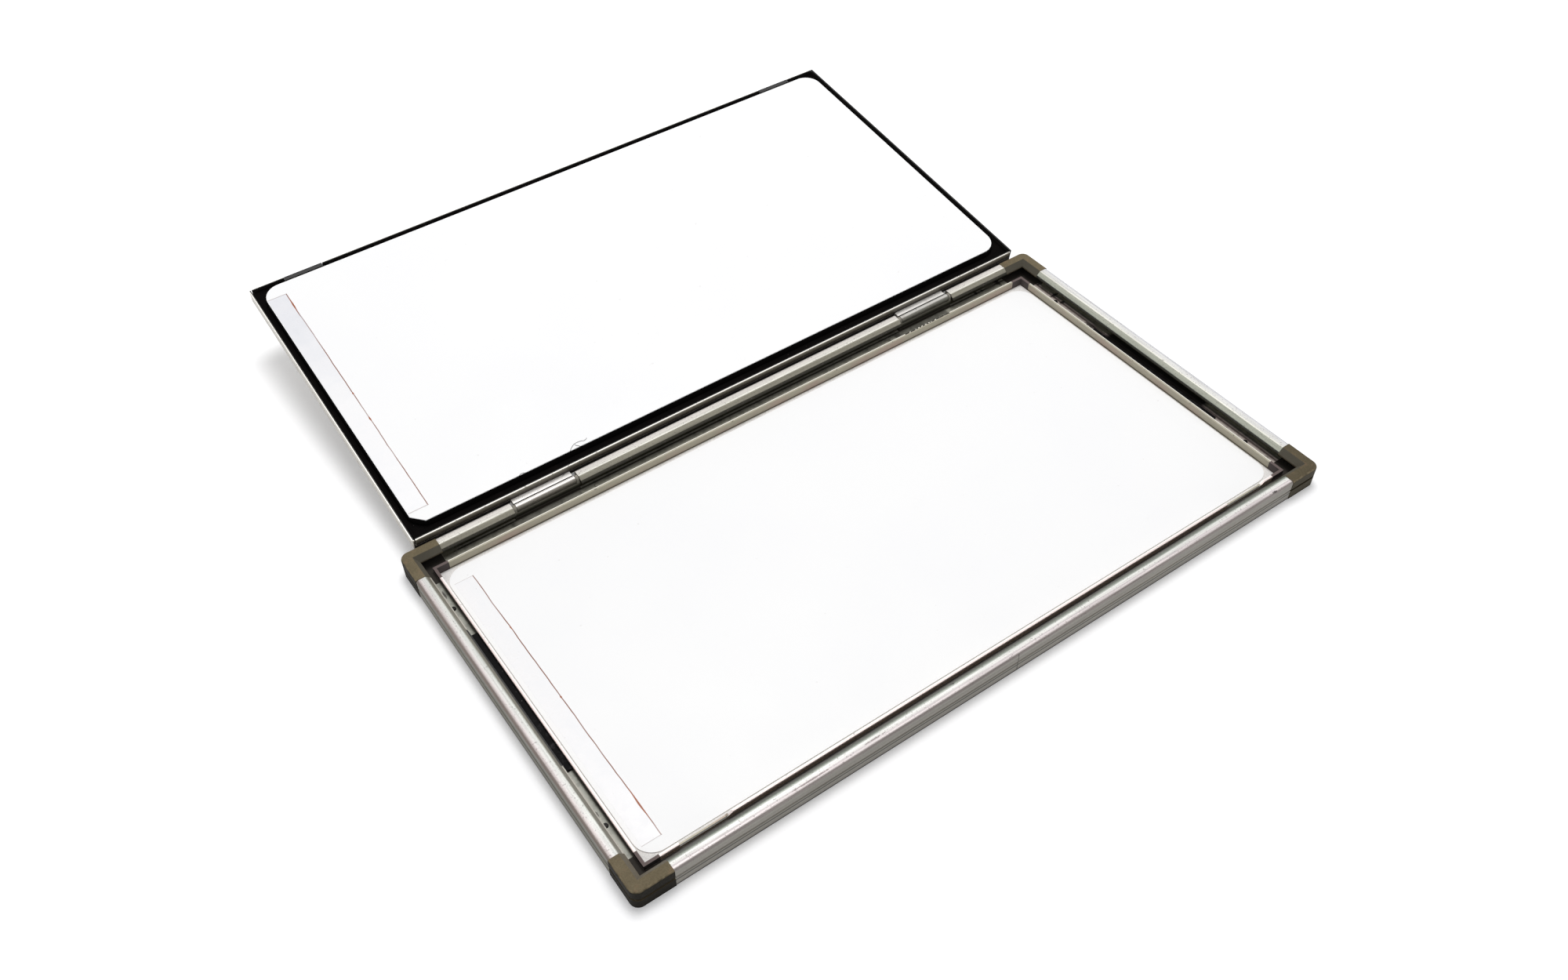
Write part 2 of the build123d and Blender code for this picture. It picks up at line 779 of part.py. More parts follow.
seat_end = tongue_rear + spring_seat
plate_top = tongue_low + tongue_plate
block_start = lid_far - tongue_block
tip_v = lid_far + tongue_reach
guide_end = guide_rear + guide_length
guide_half = tongue_width / 2 + tongue_side_gap
roof_low = spring_seat_top + guide_roof_gap
roof_high = roof_low + guide_sheet
spring_axis_w = (tongue_low + spring_seat_top) / 2
spring_start_v = guide_rear + spring_end_gap + spring_wire
spring_length = spring_space - 2 * spring_end_gap - 2 * spring_wire
button_start = (stem_low + stem_high - button_depth) / 2
button_low = back_w - button_lid_gap

for side_name, x in zip(side_names, latch_places):
    # Slide with a hooked tip, which the spring pushes out past the lid's free edge.
    with BuildPart() as latch_tongue:
        with BuildSketch(lid_section(x - tongue_width / 2)):
            with BuildLine():
                Polyline(
                    (tongue_rear, tongue_low),
                    (lid_far, tongue_low),
                    (lid_far, hook_low),
                    (tip_v, hook_low),
                    (tip_v, hook_high - hook_bevel),
                    (tip_v - hook_bevel, hook_high),
                    (lid_far, hook_high),
                    (lid_far, tongue_high),
                    (block_start, tongue_high),
                    (block_start, plate_top),
                    (tongue_rear, plate_top),
                    close=True,
                )
            make_face()
        extrude(amount=tongue_width)
        with BuildSketch(lid_section(x - spring_seat_width / 2)):
            with BuildLine():
                Polyline(
                    (tongue_rear, tongue_low),
                    (seat_end, tongue_low),
                    (seat_end, spring_seat_top),
                    (tongue_rear, spring_seat_top),
                    close=True,
                )
            make_face()
        extrude(amount=spring_seat_width)
    save(latch_tongue, f"latch_tongue_{side_name}")

    # Stamped cover over the slide: roof, two sides and a rear wall that takes the spring.
    with BuildPart() as latch_guide:
        with BuildSketch(lid_plane.offset(pan_floor)):
            with Locations((x, guide_rear - guide_sheet)):
                Rectangle(
                    2 * (guide_half + guide_sheet),
                    guide_end - guide_rear + guide_sheet,
                    align=(Align.CENTER, Align.MIN),
                )
        extrude(amount=roof_high - pan_floor)
        with BuildSketch(lid_plane.offset(pan_floor)):
            with Locations((x, guide_rear)):
                Rectangle(2 * guide_half, 2 * guide_length, align=(Align.CENTER, Align.MIN))
        extrude(amount=roof_low - pan_floor, mode=Mode.SUBTRACT)
    save(latch_guide, f"latch_guide_{side_name}")

    # Compression spring between the guide's rear wall and the slide's seat.
    spring_start = lid_section(x).from_local_coords((spring_start_v, spring_axis_w, 0))
    with BuildPart() as latch_spring:
        with BuildLine() as coil:
            Helix(
                pitch=spring_length / spring_turns,
                height=spring_length,
                radius=spring_radius,
                center=spring_start,
                direction=across,
            )
        with BuildSketch(Plane(origin=coil.line @ 0, z_dir=coil.line % 0)):
            Circle(spring_wire)
        sweep()
    save(latch_spring, f"latch_spring_{side_name}")

    # Ribbed thumb button on the lid's back, with a stem that reaches the slide through a slot.
    with BuildPart() as latch_button:
        with BuildSketch(lid_plane.offset(button_low)):
            with Locations((x, button_start + button_depth / 2)):
                RectangleRounded(button_width, button_depth, button_round)
        extrude(amount=-button_height)
        with BuildSketch(lid_plane.offset(button_low - button_height)):
            with Locations((x, button_start + button_depth / 2)):
                with GridLocations(0, button_rib_pitch, 1, button_ribs):
                    Rectangle(button_width - 2 * button_round, button_rib_width)
        extrude(amount=button_rib_depth, mode=Mode.SUBTRACT)
        with BuildSketch(lid_plane.offset(button_low)):
            with Locations((x, stem_low)):
                Rectangle(stem_width, stem_depth, align=(Align.CENTER, Align.MIN))
        extrude(amount=tongue_low - button_low)
    save(latch_button, f"latch_button_{side_name}")
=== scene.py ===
import json
import math

import bmesh
import bpy
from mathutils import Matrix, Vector
from mathutils import noise as solid_noise


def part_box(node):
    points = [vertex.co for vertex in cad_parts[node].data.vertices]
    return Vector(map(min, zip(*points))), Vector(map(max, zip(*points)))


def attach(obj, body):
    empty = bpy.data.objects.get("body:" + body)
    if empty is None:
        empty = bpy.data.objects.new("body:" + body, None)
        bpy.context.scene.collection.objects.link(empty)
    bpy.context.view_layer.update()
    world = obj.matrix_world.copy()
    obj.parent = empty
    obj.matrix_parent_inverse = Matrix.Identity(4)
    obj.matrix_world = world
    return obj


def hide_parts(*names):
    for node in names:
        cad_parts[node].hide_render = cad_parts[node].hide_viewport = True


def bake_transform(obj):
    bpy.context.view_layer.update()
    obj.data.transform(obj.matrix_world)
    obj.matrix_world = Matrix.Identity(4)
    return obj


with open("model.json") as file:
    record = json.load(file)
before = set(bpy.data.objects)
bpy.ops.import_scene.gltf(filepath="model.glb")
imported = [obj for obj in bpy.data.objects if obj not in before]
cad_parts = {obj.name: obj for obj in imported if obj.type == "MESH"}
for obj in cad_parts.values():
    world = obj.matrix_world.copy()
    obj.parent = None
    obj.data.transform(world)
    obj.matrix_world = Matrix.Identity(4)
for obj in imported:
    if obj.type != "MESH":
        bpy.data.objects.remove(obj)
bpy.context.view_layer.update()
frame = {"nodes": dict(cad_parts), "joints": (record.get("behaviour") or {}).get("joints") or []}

# An X-ray film cassette, lying open. Sizes are millimetres unless a name says metres.
# Frame axes: x along the hinge, y towards it, z up, from the middle of the flat bottom.
# Lid axes: x along the hinge, v away from the hinge axis, w square to the lid, towards its screen.
# A lid's material has v as its y and w as its z.
# An inset is measured inwards from the outer faces of the frame or of the lid.

METRE = 1000.0
SIDES = (("left", -1), ("right", 1))


def tidied(*lengths):
    """Lengths without the float noise of the frame's meshes."""
    return tuple(round(length, 3) for length in lengths)


joints = {joint["name"]: joint for joint in frame["joints"]}
HINGE = Vector(joints["lid_hinge"]["pos_m"]) * METRE
# The open lid's tilt is what the hinge's range leaves of a half turn.
TILT = math.radians(180.0 - joints["lid_hinge"]["range_deg"][1])
COS, SIN = math.cos(TILT), math.sin(TILT)
LATCH_X = joints["latch_right_slide"]["pos_m"][0] * METRE


def on_lid(x, v, w):
    """A point of the open lid, in the frame's metres."""
    return (HINGE + Vector((x, v * COS - w * SIN, v * SIN + w * COS))) / METRE


def frame_box(node):
    """Lowest and highest x, y and z of a CAD node."""
    return [tidied(*(corner * METRE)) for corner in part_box(node)]


def lid_box(node):
    """Lowest and highest x, v and w of a CAD node of the lid."""
    places = []
    for vertex in frame["nodes"][node].data.vertices:
        x, y, z = vertex.co * METRE - HINGE
        places.append((x, y * COS + z * SIN, z * COS - y * SIN))
    return [tidied(*map(pick, zip(*places))) for pick in (min, max)]


# ---- Sizes of the part that the finishes follow ----
HALF_LENGTH = frame_box("rail_right")[1][0]
HALF_WIDTH = frame_box("rail_back")[1][1]
(_, LID_NEAR, _), (LID_HALF, LID_FAR, _) = lid_box("back_panel")
# The black strip of the left channel, along y.
LEFT_STRIP = [corner[1] for corner in frame_box("seal_strip_left")]

# Zones of the rails, as insets.
CHANNEL = (1.2, 9.25)
LIP_UNDERSIDE = (1.2, 6.3)
LIP_EDGE = (5.9, 6.4)
RIM_OUTER_FACE = (9.1, 9.5)
RIM_START = 9.1
RIM_INNER_FACE = 9.9
# Heights on the rails.
RAIL_FOOT = 0.7
SEAM_HALF = 0.38
WALL_CREASE = (7.0, 7.25)
LIP_HEIGHTS = (6.4, 7.6)
LIP_ROOT = 8.4
TOP_START = 6.9
RIM_TOP = 5.4
RIM_FOOT_BAND = (1.5, 1.95)
# Corner blocks: insets, then heights.
CORNER_SLOPE = (4.0, 6.4)
CORNER_WELL = (1.3, 8.8)
CORNER_CHANNEL = (1.3, 9.4)
CORNER_RIM = 9.2
CORNER_GROOVE = (4.3, 5.5)
CORNER_UPPER = 7.0
# The lid: v on the hinge leaves, and w on the lips.
BARREL_END = 1.55
LEAF_GROOVE = (1.3, 1.92)
LEAF_STEP = (1.5, 1.97)
LIP_SEAM_W = (0.3, 0.6)
LIP_CREST_W = 3.62


def linear_colour(tone):
    """A tone of this script is red, green and blue from 0 to 255. Shaders take it as linear numbers."""
    linear = []
    for level in tone:
        share = level / 255.0
        linear.append(share / 12.92 if share <= 0.04045 else ((share + 0.055) / 1.055) ** 2.4)
    return (*linear, 1.0)


# ---- Finishes ----


class Paint:
    """A material under construction, in millimetres of the frame or of the lid. Its colour is built up in
    layers. Helpers take sockets or plain values, and return an output socket unless they lay a layer."""

    def __init__(self, name, lid=False):
        self.material = bpy.data.materials.new(name)
        self.material.use_nodes = True
        self.nodes = self.material.node_tree.nodes
        self.links = self.material.node_tree.links
        self.shader = self.nodes["Principled BSDF"]
        self.colour = None
        coordinates = self.nodes.new("ShaderNodeTexCoord")
        self.place = self.stretch((METRE, METRE, METRE), coordinates.outputs["Object"])
        normal = coordinates.outputs["Normal"]
        if lid:
            self.place = self.turn(self.place, HINGE)
            normal = self.turn(normal, (0, 0, 0))
        self.x, self.y, self.z = self.split(self.place)
        _, self.ny, self.nz = self.split(normal)
        self.level = self.away(self.nz)
        self.upright = self.span(self.level, 0.45, 0.75, 1, 0)

    def put(self, socket, value):
        if isinstance(value, bpy.types.NodeSocket):
            self.links.new(value, socket)
        elif socket.type == "RGBA":
            socket.default_value = linear_colour(value)
        else:
            socket.default_value = value

    def node(self, kind, **inputs):
        """A node with inputs given by name."""
        node = self.nodes.new(kind)
        for name, value in inputs.items():
            self.put(node.inputs[name], value)
        return node

    def split(self, vector):
        return self.node("ShaderNodeSeparateXYZ", Vector=vector).outputs

    def turn(self, vector, origin):
        """Frame coordinates to the open lid's."""
        node = self.node("ShaderNodeMapping", Vector=vector, Location=origin, Rotation=(TILT, 0, 0))
        node.vector_type = "TEXTURE"
        return node.outputs[0]

    def stretch(self, scale, vector=None, shift=(0, 0, 0)):
        """Coordinates scaled along each axis, for grain that runs one way."""
        vector = vector or self.place
        return self.node("ShaderNodeMapping", Vector=vector, Location=shift, Scale=scale).outputs[0]

    def math(self, operation, a, b=0.0):
        node = self.nodes.new("ShaderNodeMath")
        node.operation = operation
        self.put(node.inputs[0], a)
        self.put(node.inputs[1], b)
        return node.outputs[0]

    def chain(self, operation, values):
        """One number from several, taken one after another."""
        result, *others = values
        for value in others:
            result = self.math(operation, result, value)
        return result

    def all(self, *factors):
        """The product of several factors."""
        return self.chain("MULTIPLY", factors)

    def plus(self, *values):
        return self.chain("ADD", values)

    def most(self, *values):
        return self.chain("MAXIMUM", values)

    def least(self, *values):
        return self.chain("MINIMUM", values)

    def minus(self, a, b):
        return self.math("SUBTRACT", a, b)

    def away(self, value, centre=0.0):
        """How far a value lies from a centre, either way."""
        return self.math("ABSOLUTE", self.minus(value, centre))

    def span(self, value, low, high, to_low=0.0, to_high=1.0):
        """Maps low..high of a value to to_low..to_high, held at the ends."""
        node = self.nodes.new("ShaderNodeMapRange")
        for socket, number in zip(node.inputs, (value, low, high, to_low, to_high)):
            self.put(socket, number)
        return node.outputs["Result"]

    def spread(self, cloud, low=0.0, high=1.0):
        """The usual range of a noise, mapped to low..high."""
        return self.span(cloud, 0.3, 0.7, low, high)

    def above(self, value, edge, soft=0.12):
        return self.span(value, edge - soft, edge + soft)

    def below(self, value, edge, soft=0.12):
        return self.span(value, edge - soft, edge + soft, 1, 0)

    def between(self, value, low, high, soft=0.1):
        return self.all(self.above(value, low, soft), self.below(value, high, soft))

    def noise(self, scale, detail=3.0, roughness=0.55, vector=None):
        """Cloudy noise around 0.5, with so many features a millimetre."""
        node = self.node("ShaderNodeTexNoise", Scale=scale, Detail=detail, Roughness=roughness)
        self.put(node.inputs["Vector"], vector or self.place)
        return node.outputs["Fac"]

    def grain(self, scale):
        """Fine noise stretched along one axis, as drawn or brushed metal has."""
        return self.noise(1.0, 4.0, 0.6, self.stretch(scale))

    def cells(self, scale):
        return self.node("ShaderNodeTexVoronoi", Vector=self.place, Scale=scale).outputs["Distance"]

    def scratches(self, scale, low, high, shift):
        """Short hairlines: where a stretched noise crosses its middle value, kept in a few patches."""
        lines = self.noise(1.0, 2.0, 0.5, self.stretch(scale, shift=(shift, shift * 0.7, shift * 1.3)))
        thin = self.span(self.away(lines, 0.5), 0.0, 0.012, 1, 0)
        return self.all(thin, self.span(self.noise(0.06), low, high))

    def specks(self, scale, share):
        """Small separate dots. A higher share makes fewer of them."""
        return self.span(self.noise(scale, 1.0, 0.4), share, share + 0.03)

    def mix(self, factor, a, b):
        """Colour a where the factor is 0, colour b where it is 1."""
        node = self.node("ShaderNodeMix", Factor=factor)
        node.data_type = "RGBA"
        self.put(node.inputs[6], a)
        self.put(node.inputs[7], b)
        return node.outputs[2]

    def dim(self, colour, *amounts):
        """A colour made darker by the product of some shares from 0 to 1."""
        return self.mix(self.all(*amounts), colour, (0, 0, 0))

    def cover(self, tone, *factors):
        """Lays a tone over the colour so far, as strongly as the product of the factors."""
        self.colour = self.mix(self.all(*factors), self.colour, tone)

    def shade(self, *amounts):
        """Darkens the colour so far."""
        self.colour = self.dim(self.colour, *amounts)

    def ramp(self, value, stops):
        """Colours at given millimetres, blended between them."""
        low, high = stops[0][0], stops[-1][0]
        node = self.nodes.new("ShaderNodeValToRGB")
        elements = node.color_ramp.elements
        elements[0].color = linear_colour(stops[0][1])
        elements[1].color = linear_colour(stops[-1][1])
        for place, tone in stops[1:-1]:
            elements.new((place - low) / (high - low)).color = linear_colour(tone)
        self.put(node.inputs[0], self.span(value, low, high))
        return node.outputs["Color"]

    def spotted(self, colour, tone, *spots):
        """A colour with small spots of another tone, (x, y, half length, half width), with ragged edges."""
        ragged = self.spread(self.noise(1.6, 2.0), -0.6, 0.6)
        for x, y, half_x, half_y in spots:
            along = self.math("POWER", self.math("DIVIDE", self.away(self.x, x), half_x), 2)
            across = self.math("POWER", self.math("DIVIDE", self.away(self.y, y), half_y), 2)
            reach = self.plus(along, across, ragged)
            colour = self.mix(self.span(reach, 0.5, 1.0, 0.85, 0), colour, tone)
        return colour

    def bump(self, height, depth, strength, under=None):
        """Relief of a depth in millimetres."""
        node = self.node("ShaderNodeBump", Height=height, Distance=depth / METRE, Strength=strength)
        if under is not None:
            self.put(node.inputs["Normal"], under)
        return node.outputs["Normal"]

    def frame_inset(self):
        end = self.minus(HALF_LENGTH, self.away(self.x))
        return self.least(end, self.minus(HALF_WIDTH, self.away(self.y)))

    def lid_inset(self):
        end = self.minus(LID_HALF, self.away(self.x))
        return self.least(end, self.minus(self.y, LID_NEAR), self.minus(LID_FAR, self.y))

    def hinge_side(self):
        """The lid's narrow face that looks at the hinge."""
        return self.all(self.below(self.ny, -0.75, 0.15), self.below(self.y, 22.0, 2.0))

    def finish(self, roughness, normal, metallic, gloss=0.5):
        self.put(self.shader.inputs["Base Color"], self.colour)
        self.put(self.shader.inputs["Roughness"], roughness)
        self.shader.inputs["Metallic"].default_value = metallic
        self.shader.inputs["Specular IOR Level"].default_value = gloss
        self.links.new(normal, self.shader.inputs["Normal"])
        return self.material


# Painted light: the lip's edge tone of the lit rails. The other rails get a shaded tone.
LIT_LIP_TONE = (150, 154, 145)
# A painted highlight line, on the rims' crests and the top edges of the rails.
HIGHLIGHT_CREAM = (255, 253, 243)
RIM_KHAKI = (174, 168, 150)
RIM_PINK = (238, 222, 217)
RIM_WHITE = (252, 249, 247)
# Painted shade for the channels and the faces under the lips.
CHANNEL_SHADE = (30, 28, 25)

# The rims' crest tones paint light and shade: lit on the front and left rails, in shade with a painted
# highlight line on the back and right ones.
LIT_RIM = ((9.1, RIM_PINK), (9.8, RIM_PINK), (10.1, RIM_WHITE), (10.6, RIM_WHITE))
SHADED_RIM = ((9.1, HIGHLIGHT_CREAM), (9.65, HIGHLIGHT_CREAM), (9.85, RIM_KHAKI), (10.6, RIM_KHAKI))

# Light and shade are painted into these tones: walls and rim sides by side, highlights and shade on tops,
# shade and reflections on floors.
# Tones of each rail. The seam is a height on its wall. The top and floor tones stand at insets.
# Dark stretches of the floor are (from, to, softness, first inset, amount). Spots are a tone, then places.
RAILS = {
    "rail_front": {
        "along": "x", "lit": True, "seam": 3.35, "wall": (165, 161, 152), "rim_side": (196, 172, 152),
        "top": (
            (0, (166, 158, 154)), (0.45, (140, 132, 128)), (1.2, (240, 230, 229)),
            (1.85, (212, 204, 204)), (2.3, (240, 237, 233)), (3.1, (244, 244, 239)),
            (3.7, (160, 166, 156)), (4.4, (108, 113, 102)), (5.2, (82, 84, 73)),
            (5.6, (58, 57, 48)), (6.1, (40, 37, 29)),
        ),
        "floor": ((1.4, CHANNEL_SHADE), (9.3, (58, 54, 48))),
        "spots": (
            ((42, 38, 35), (-27.0, -84.1, 1.0, 0.6), (137.5, -87.6, 1.6, 0.5), (1.0, -88.5, 0.2, 0.3)),
            ((132, 120, 118), (-92.0, -86.9, 9.0, 0.35), (-64.0, -86.4, 5.0, 0.3)),
        ),
    },
    "rail_back": {
        "along": "x", "lit": False, "seam": 3.7, "wall": (150, 145, 136), "rim_side": (110, 94, 82),
        "top": (
            (0, (186, 180, 174)), (1.2, (236, 231, 226)), (3.0, (234, 230, 222)),
            (3.25, HIGHLIGHT_CREAM), (3.75, HIGHLIGHT_CREAM), (3.95, (160, 156, 140)),
            (5.35, (152, 148, 134)), (5.55, (44, 42, 30)), (6.1, (32, 30, 20)),
        ),
        "floor": (
            (1.4, (104, 98, 76)), (2.05, (110, 106, 88)), (2.5, (72, 68, 50)),
            (2.95, (82, 78, 60)), (3.4, (166, 164, 152)), (3.8, (162, 160, 148)),
            (4.2, (58, 55, 42)), (4.6, (54, 52, 40)), (5.1, (158, 156, 144)),
            (5.6, (176, 173, 160)), (6.2, (168, 166, 152)), (9.3, (170, 166, 152)),
        ),
        # More light comes in at the hinges' openings, so painted shade darkens the floor there.
        "floor_dark": ((-117.4, -85.0, 0.5, 4.9, 0.62), (80.4, 111.2, 0.5, 4.9, 0.62)),
        "floor_spots": (
            ((120, 116, 100), (-145.6, 85.4, 5.6, 2.6), (139.4, 85.6, 3.4, 2.6)),
            ((20, 18, 14), (130.6, 84.6, 0.9, 1.3), (134.2, 84.4, 0.6, 1.0), (144.2, 84.6, 1.2, 3.0)),
        ),
    },
    "rail_left": {
        "along": "y", "lit": True, "seam": 6.55, "wall": (132, 129, 116), "rim_side": (84, 70, 60),
        "top": (
            (0, (140, 128, 120)), (0.6, (138, 126, 119)), (1.5, (214, 203, 201)),
            (2.1, (228, 224, 221)), (3.6, (228, 230, 224)), (4.3, (144, 142, 130)),
            (5.2, (126, 121, 109)), (5.45, (130, 125, 113)), (5.65, (202, 198, 186)),
            (5.9, (204, 200, 188)),
        ),
        "floor": (
            (1.4, CHANNEL_SHADE), (5.8, (140, 136, 124)), (6.6, (192, 188, 176)), (8.1, (152, 153, 144)),
            (8.5, (124, 124, 112)), (8.9, (62, 58, 48)), (9.3, (34, 29, 24)),
        ),
        "spots": (((52, 46, 42), (-156.6, -52.0, 0.7, 1.6), (-156.0, 66.0, 0.5, 2.2)),),
    },
    "rail_right": {
        "along": "y", "lit": False, "seam": 3.7, "wall": (150, 145, 136), "rim_side": (90, 80, 72),
        "top": (
            (0, (206, 206, 210)), (1.2, (222, 222, 224)), (1.8, (238, 237, 234)),
            (3.3, (238, 237, 234)), (3.5, HIGHLIGHT_CREAM), (4.05, HIGHLIGHT_CREAM),
            (4.2, (192, 194, 179)), (5.55, (184, 187, 173)), (5.75, (30, 32, 26)),
        ),
        "floor": (
            (1.4, (120, 122, 100)), (2.3, (160, 158, 130)), (2.9, (156, 154, 136)),
            (3.3, (134, 134, 118)), (3.75, (104, 100, 90)), (4.2, (170, 160, 150)),
            (4.65, (236, 226, 220)), (5.1, (156, 138, 134)), (5.55, (154, 138, 132)),
            (6.0, (222, 206, 198)), (6.5, (226, 214, 204)), (9.3, (200, 190, 180)),
        ),
        "floor_dark": ((-32.0, 26.0, 1.2, 0, 0.94),),
        "floor_spots": (
            ((140, 138, 120), (160.4, 67.2, 2.4, 4.2), (160.4, 31.0, 2.4, 5.0)),
            (
                (24, 20, 18), (157.2, 34.8, 1.0, 4.6), (158.6, 55.4, 1.6, 0.9),
                (159.4, 61.6, 2.6, 0.9), (160.0, 72.0, 2.6, 0.8),
            ),
        ),
    },
}
# Chipped paint on the back rim: its whole stretch in x, its ends, where it is solid, and its zone.
CHIPS = (83.4, 109.6)
CHIP_ENDS = ((83.4, 85.2), (107.8, 109.6))
CHIP_INSET = (8.9, 10.05)
CHIP_HEIGHTS = (4.6, 5.5)
# The black strip of the left channel also shows at the foot of the slope.
LEFT_STRIP_INSET = (5.35, 9.2)


def rail_metal(name, along, lit, seam, wall, rim_side, top, floor, floor_dark=(), floor_spots=(), spots=()):
    """Worn satin aluminium of one folded rail, with painted highlights, reflections and shade."""
    coat = Paint(name)
    z, inset = coat.z, coat.frame_inset()
    if along == "x":
        run = coat.x
        fine, coarse, scuff = (0.03, 1.4, 1.4), (0.012, 0.38, 0.38), (0.9, 0.26, 0.9)
    else:
        run = coat.y
        fine, coarse, scuff = (1.4, 0.03, 1.4), (0.38, 0.012, 0.38), (0.26, 0.9, 0.9)
    grain = coat.grain(fine)
    streak = coat.noise(1.0, 3.0, 0.55, coat.stretch(coarse))
    mottle = coat.noise(0.09, 4.0, 0.6)

    # Outer wall, with painted shade at its foot, a drawn seam and a faint crease.
    speckle = coat.span(coat.noise(2.4, 2.0, 0.5), 0.35, 0.65, 0, 0.14)
    coat.colour = coat.dim(wall, coat.spread(streak, 0, 0.22))
    coat.shade(speckle)
    coat.shade(coat.below(z, RAIL_FOOT, 0.3), 0.85)
    coat.shade(coat.between(z, seam - SEAM_HALF, seam + SEAM_HALF), 0.7)
    coat.shade(coat.between(z, *WALL_CREASE), 0.2)

    # Channel: its floor, with painted shade and reflections, and the hidden faces under the lip, painted in
    # shade.
    dirt = coat.span(coat.noise(0.3, 4.0, 0.65), 0.45, 0.72, 0, 0.45)
    floor_tone = coat.dim(coat.ramp(inset, floor), dirt)
    for low, high, soft, first_inset, amount in floor_dark:
        stretch = coat.between(run, low, high, soft)
        floor_tone = coat.dim(floor_tone, stretch, coat.above(inset, first_inset, 0.4), amount)
    for tone, *places in floor_spots:
        floor_tone = coat.spotted(floor_tone, tone, *places)
    coat.cover(floor_tone, coat.between(inset, *CHANNEL, 0.05), coat.below(z, LIP_ROOT))
    underside = coat.between(inset, *LIP_UNDERSIDE, 0.05)
    coat.cover(CHANNEL_SHADE, underside, coat.between(z, 2.8, LIP_ROOT), coat.below(coat.nz, 0.1))

    # Rim: brown outside, khaki and rose inside and darker along its foot, its crest painted lit or in shade
    # with a highlight line, and worn.
    low = coat.below(z, RIM_TOP, 0.2)
    coat.cover(rim_side, coat.between(inset, *RIM_OUTER_FACE, 0.05), coat.upright, low)
    rose = coat.span(coat.noise(0.07, 2.0), 0.45, 0.65, 0, 0.55)
    inner_tone = coat.mix(rose, RIM_KHAKI, (178, 154, 142))
    inner_tone = coat.dim(inner_tone, coat.between(z, *RIM_FOOT_BAND), 0.75)
    coat.cover(inner_tone, coat.above(inset, RIM_INNER_FACE, 0.05), low)
    crest = 4.2 if lit else 4.75
    crest_faces = coat.most(coat.span(coat.nz, 0.1, 0.3), coat.above(z, crest, 0.1))
    lit_and_worn_crest = coat.dim(coat.ramp(inset, LIT_RIM if lit else SHADED_RIM), coat.specks(0.7, 0.74), 0.5)
    crest_heights = coat.between(z, crest - 0.1, RIM_TOP)
    coat.cover(lit_and_worn_crest, coat.above(inset, RIM_START, 0.05), crest_heights, crest_faces)

    # Top face, outer bevel and slope, with painted highlights and shade, drawn grain and small pits, and
    # the lip's edge.
    top_tone = coat.dim(coat.ramp(inset, top), coat.span(grain, 0.42, 0.68, 0, 0.24))
    top_tone = coat.dim(top_tone, speckle)
    pits = coat.all(coat.specks(1.5, 0.68), 0.5)
    worn = coat.all(coat.scratches(scuff, 0.56, 0.64, 3.1), 0.6)
    marks = coat.most(pits, worn)
    top_tone = coat.mix(marks, top_tone, (104, 94, 92))
    top_side = coat.below(inset, LIP_EDGE[1])
    coat.cover(top_tone, coat.above(z, TOP_START, 0.25), coat.span(coat.nz, 0.08, 0.2), top_side)
    # The lip's edge is painted lit on the lit rails and in shade on the others.
    lip_edge = coat.all(coat.between(inset, *LIP_EDGE), coat.upright)
    coat.cover(LIT_LIP_TONE if lit else (44, 43, 34), lip_edge, coat.between(z, *LIP_HEIGHTS))

    # Wear of this rail alone.
    if name == "rail_back":
        ends = (coat.between(coat.x, *end) for end in CHIP_ENDS)
        chips = coat.most(coat.span(coat.noise(1.0, 1.0, 0.4), 0.43, 0.47), *ends)
        zone = coat.all(coat.between(inset, *CHIP_INSET), coat.between(z, *CHIP_HEIGHTS))
        coat.cover((26, 21, 18), chips, coat.between(coat.x, *CHIPS), zone)
    if name == "rail_left":
        slope_foot = coat.between(inset, *LEFT_STRIP_INSET, 0.08)
        coat.cover((23, 24, 22), coat.between(coat.y, *LEFT_STRIP, 0.4), slope_foot)
    for tone, *places in spots:
        coat.colour = coat.spotted(coat.colour, tone, *places)

    normal = coat.bump(coat.plus(coat.all(grain, 0.6), coat.all(streak, 0.4)), 0.03, 0.5)
    normal = coat.bump(marks, -0.03, 0.6, normal)
    rough = coat.plus(coat.spread(grain, 0.36, 0.5), coat.span(mottle, 0.4, 0.7, 0, 0.08))
    return coat.finish(rough, normal, 0.15, 0.35)


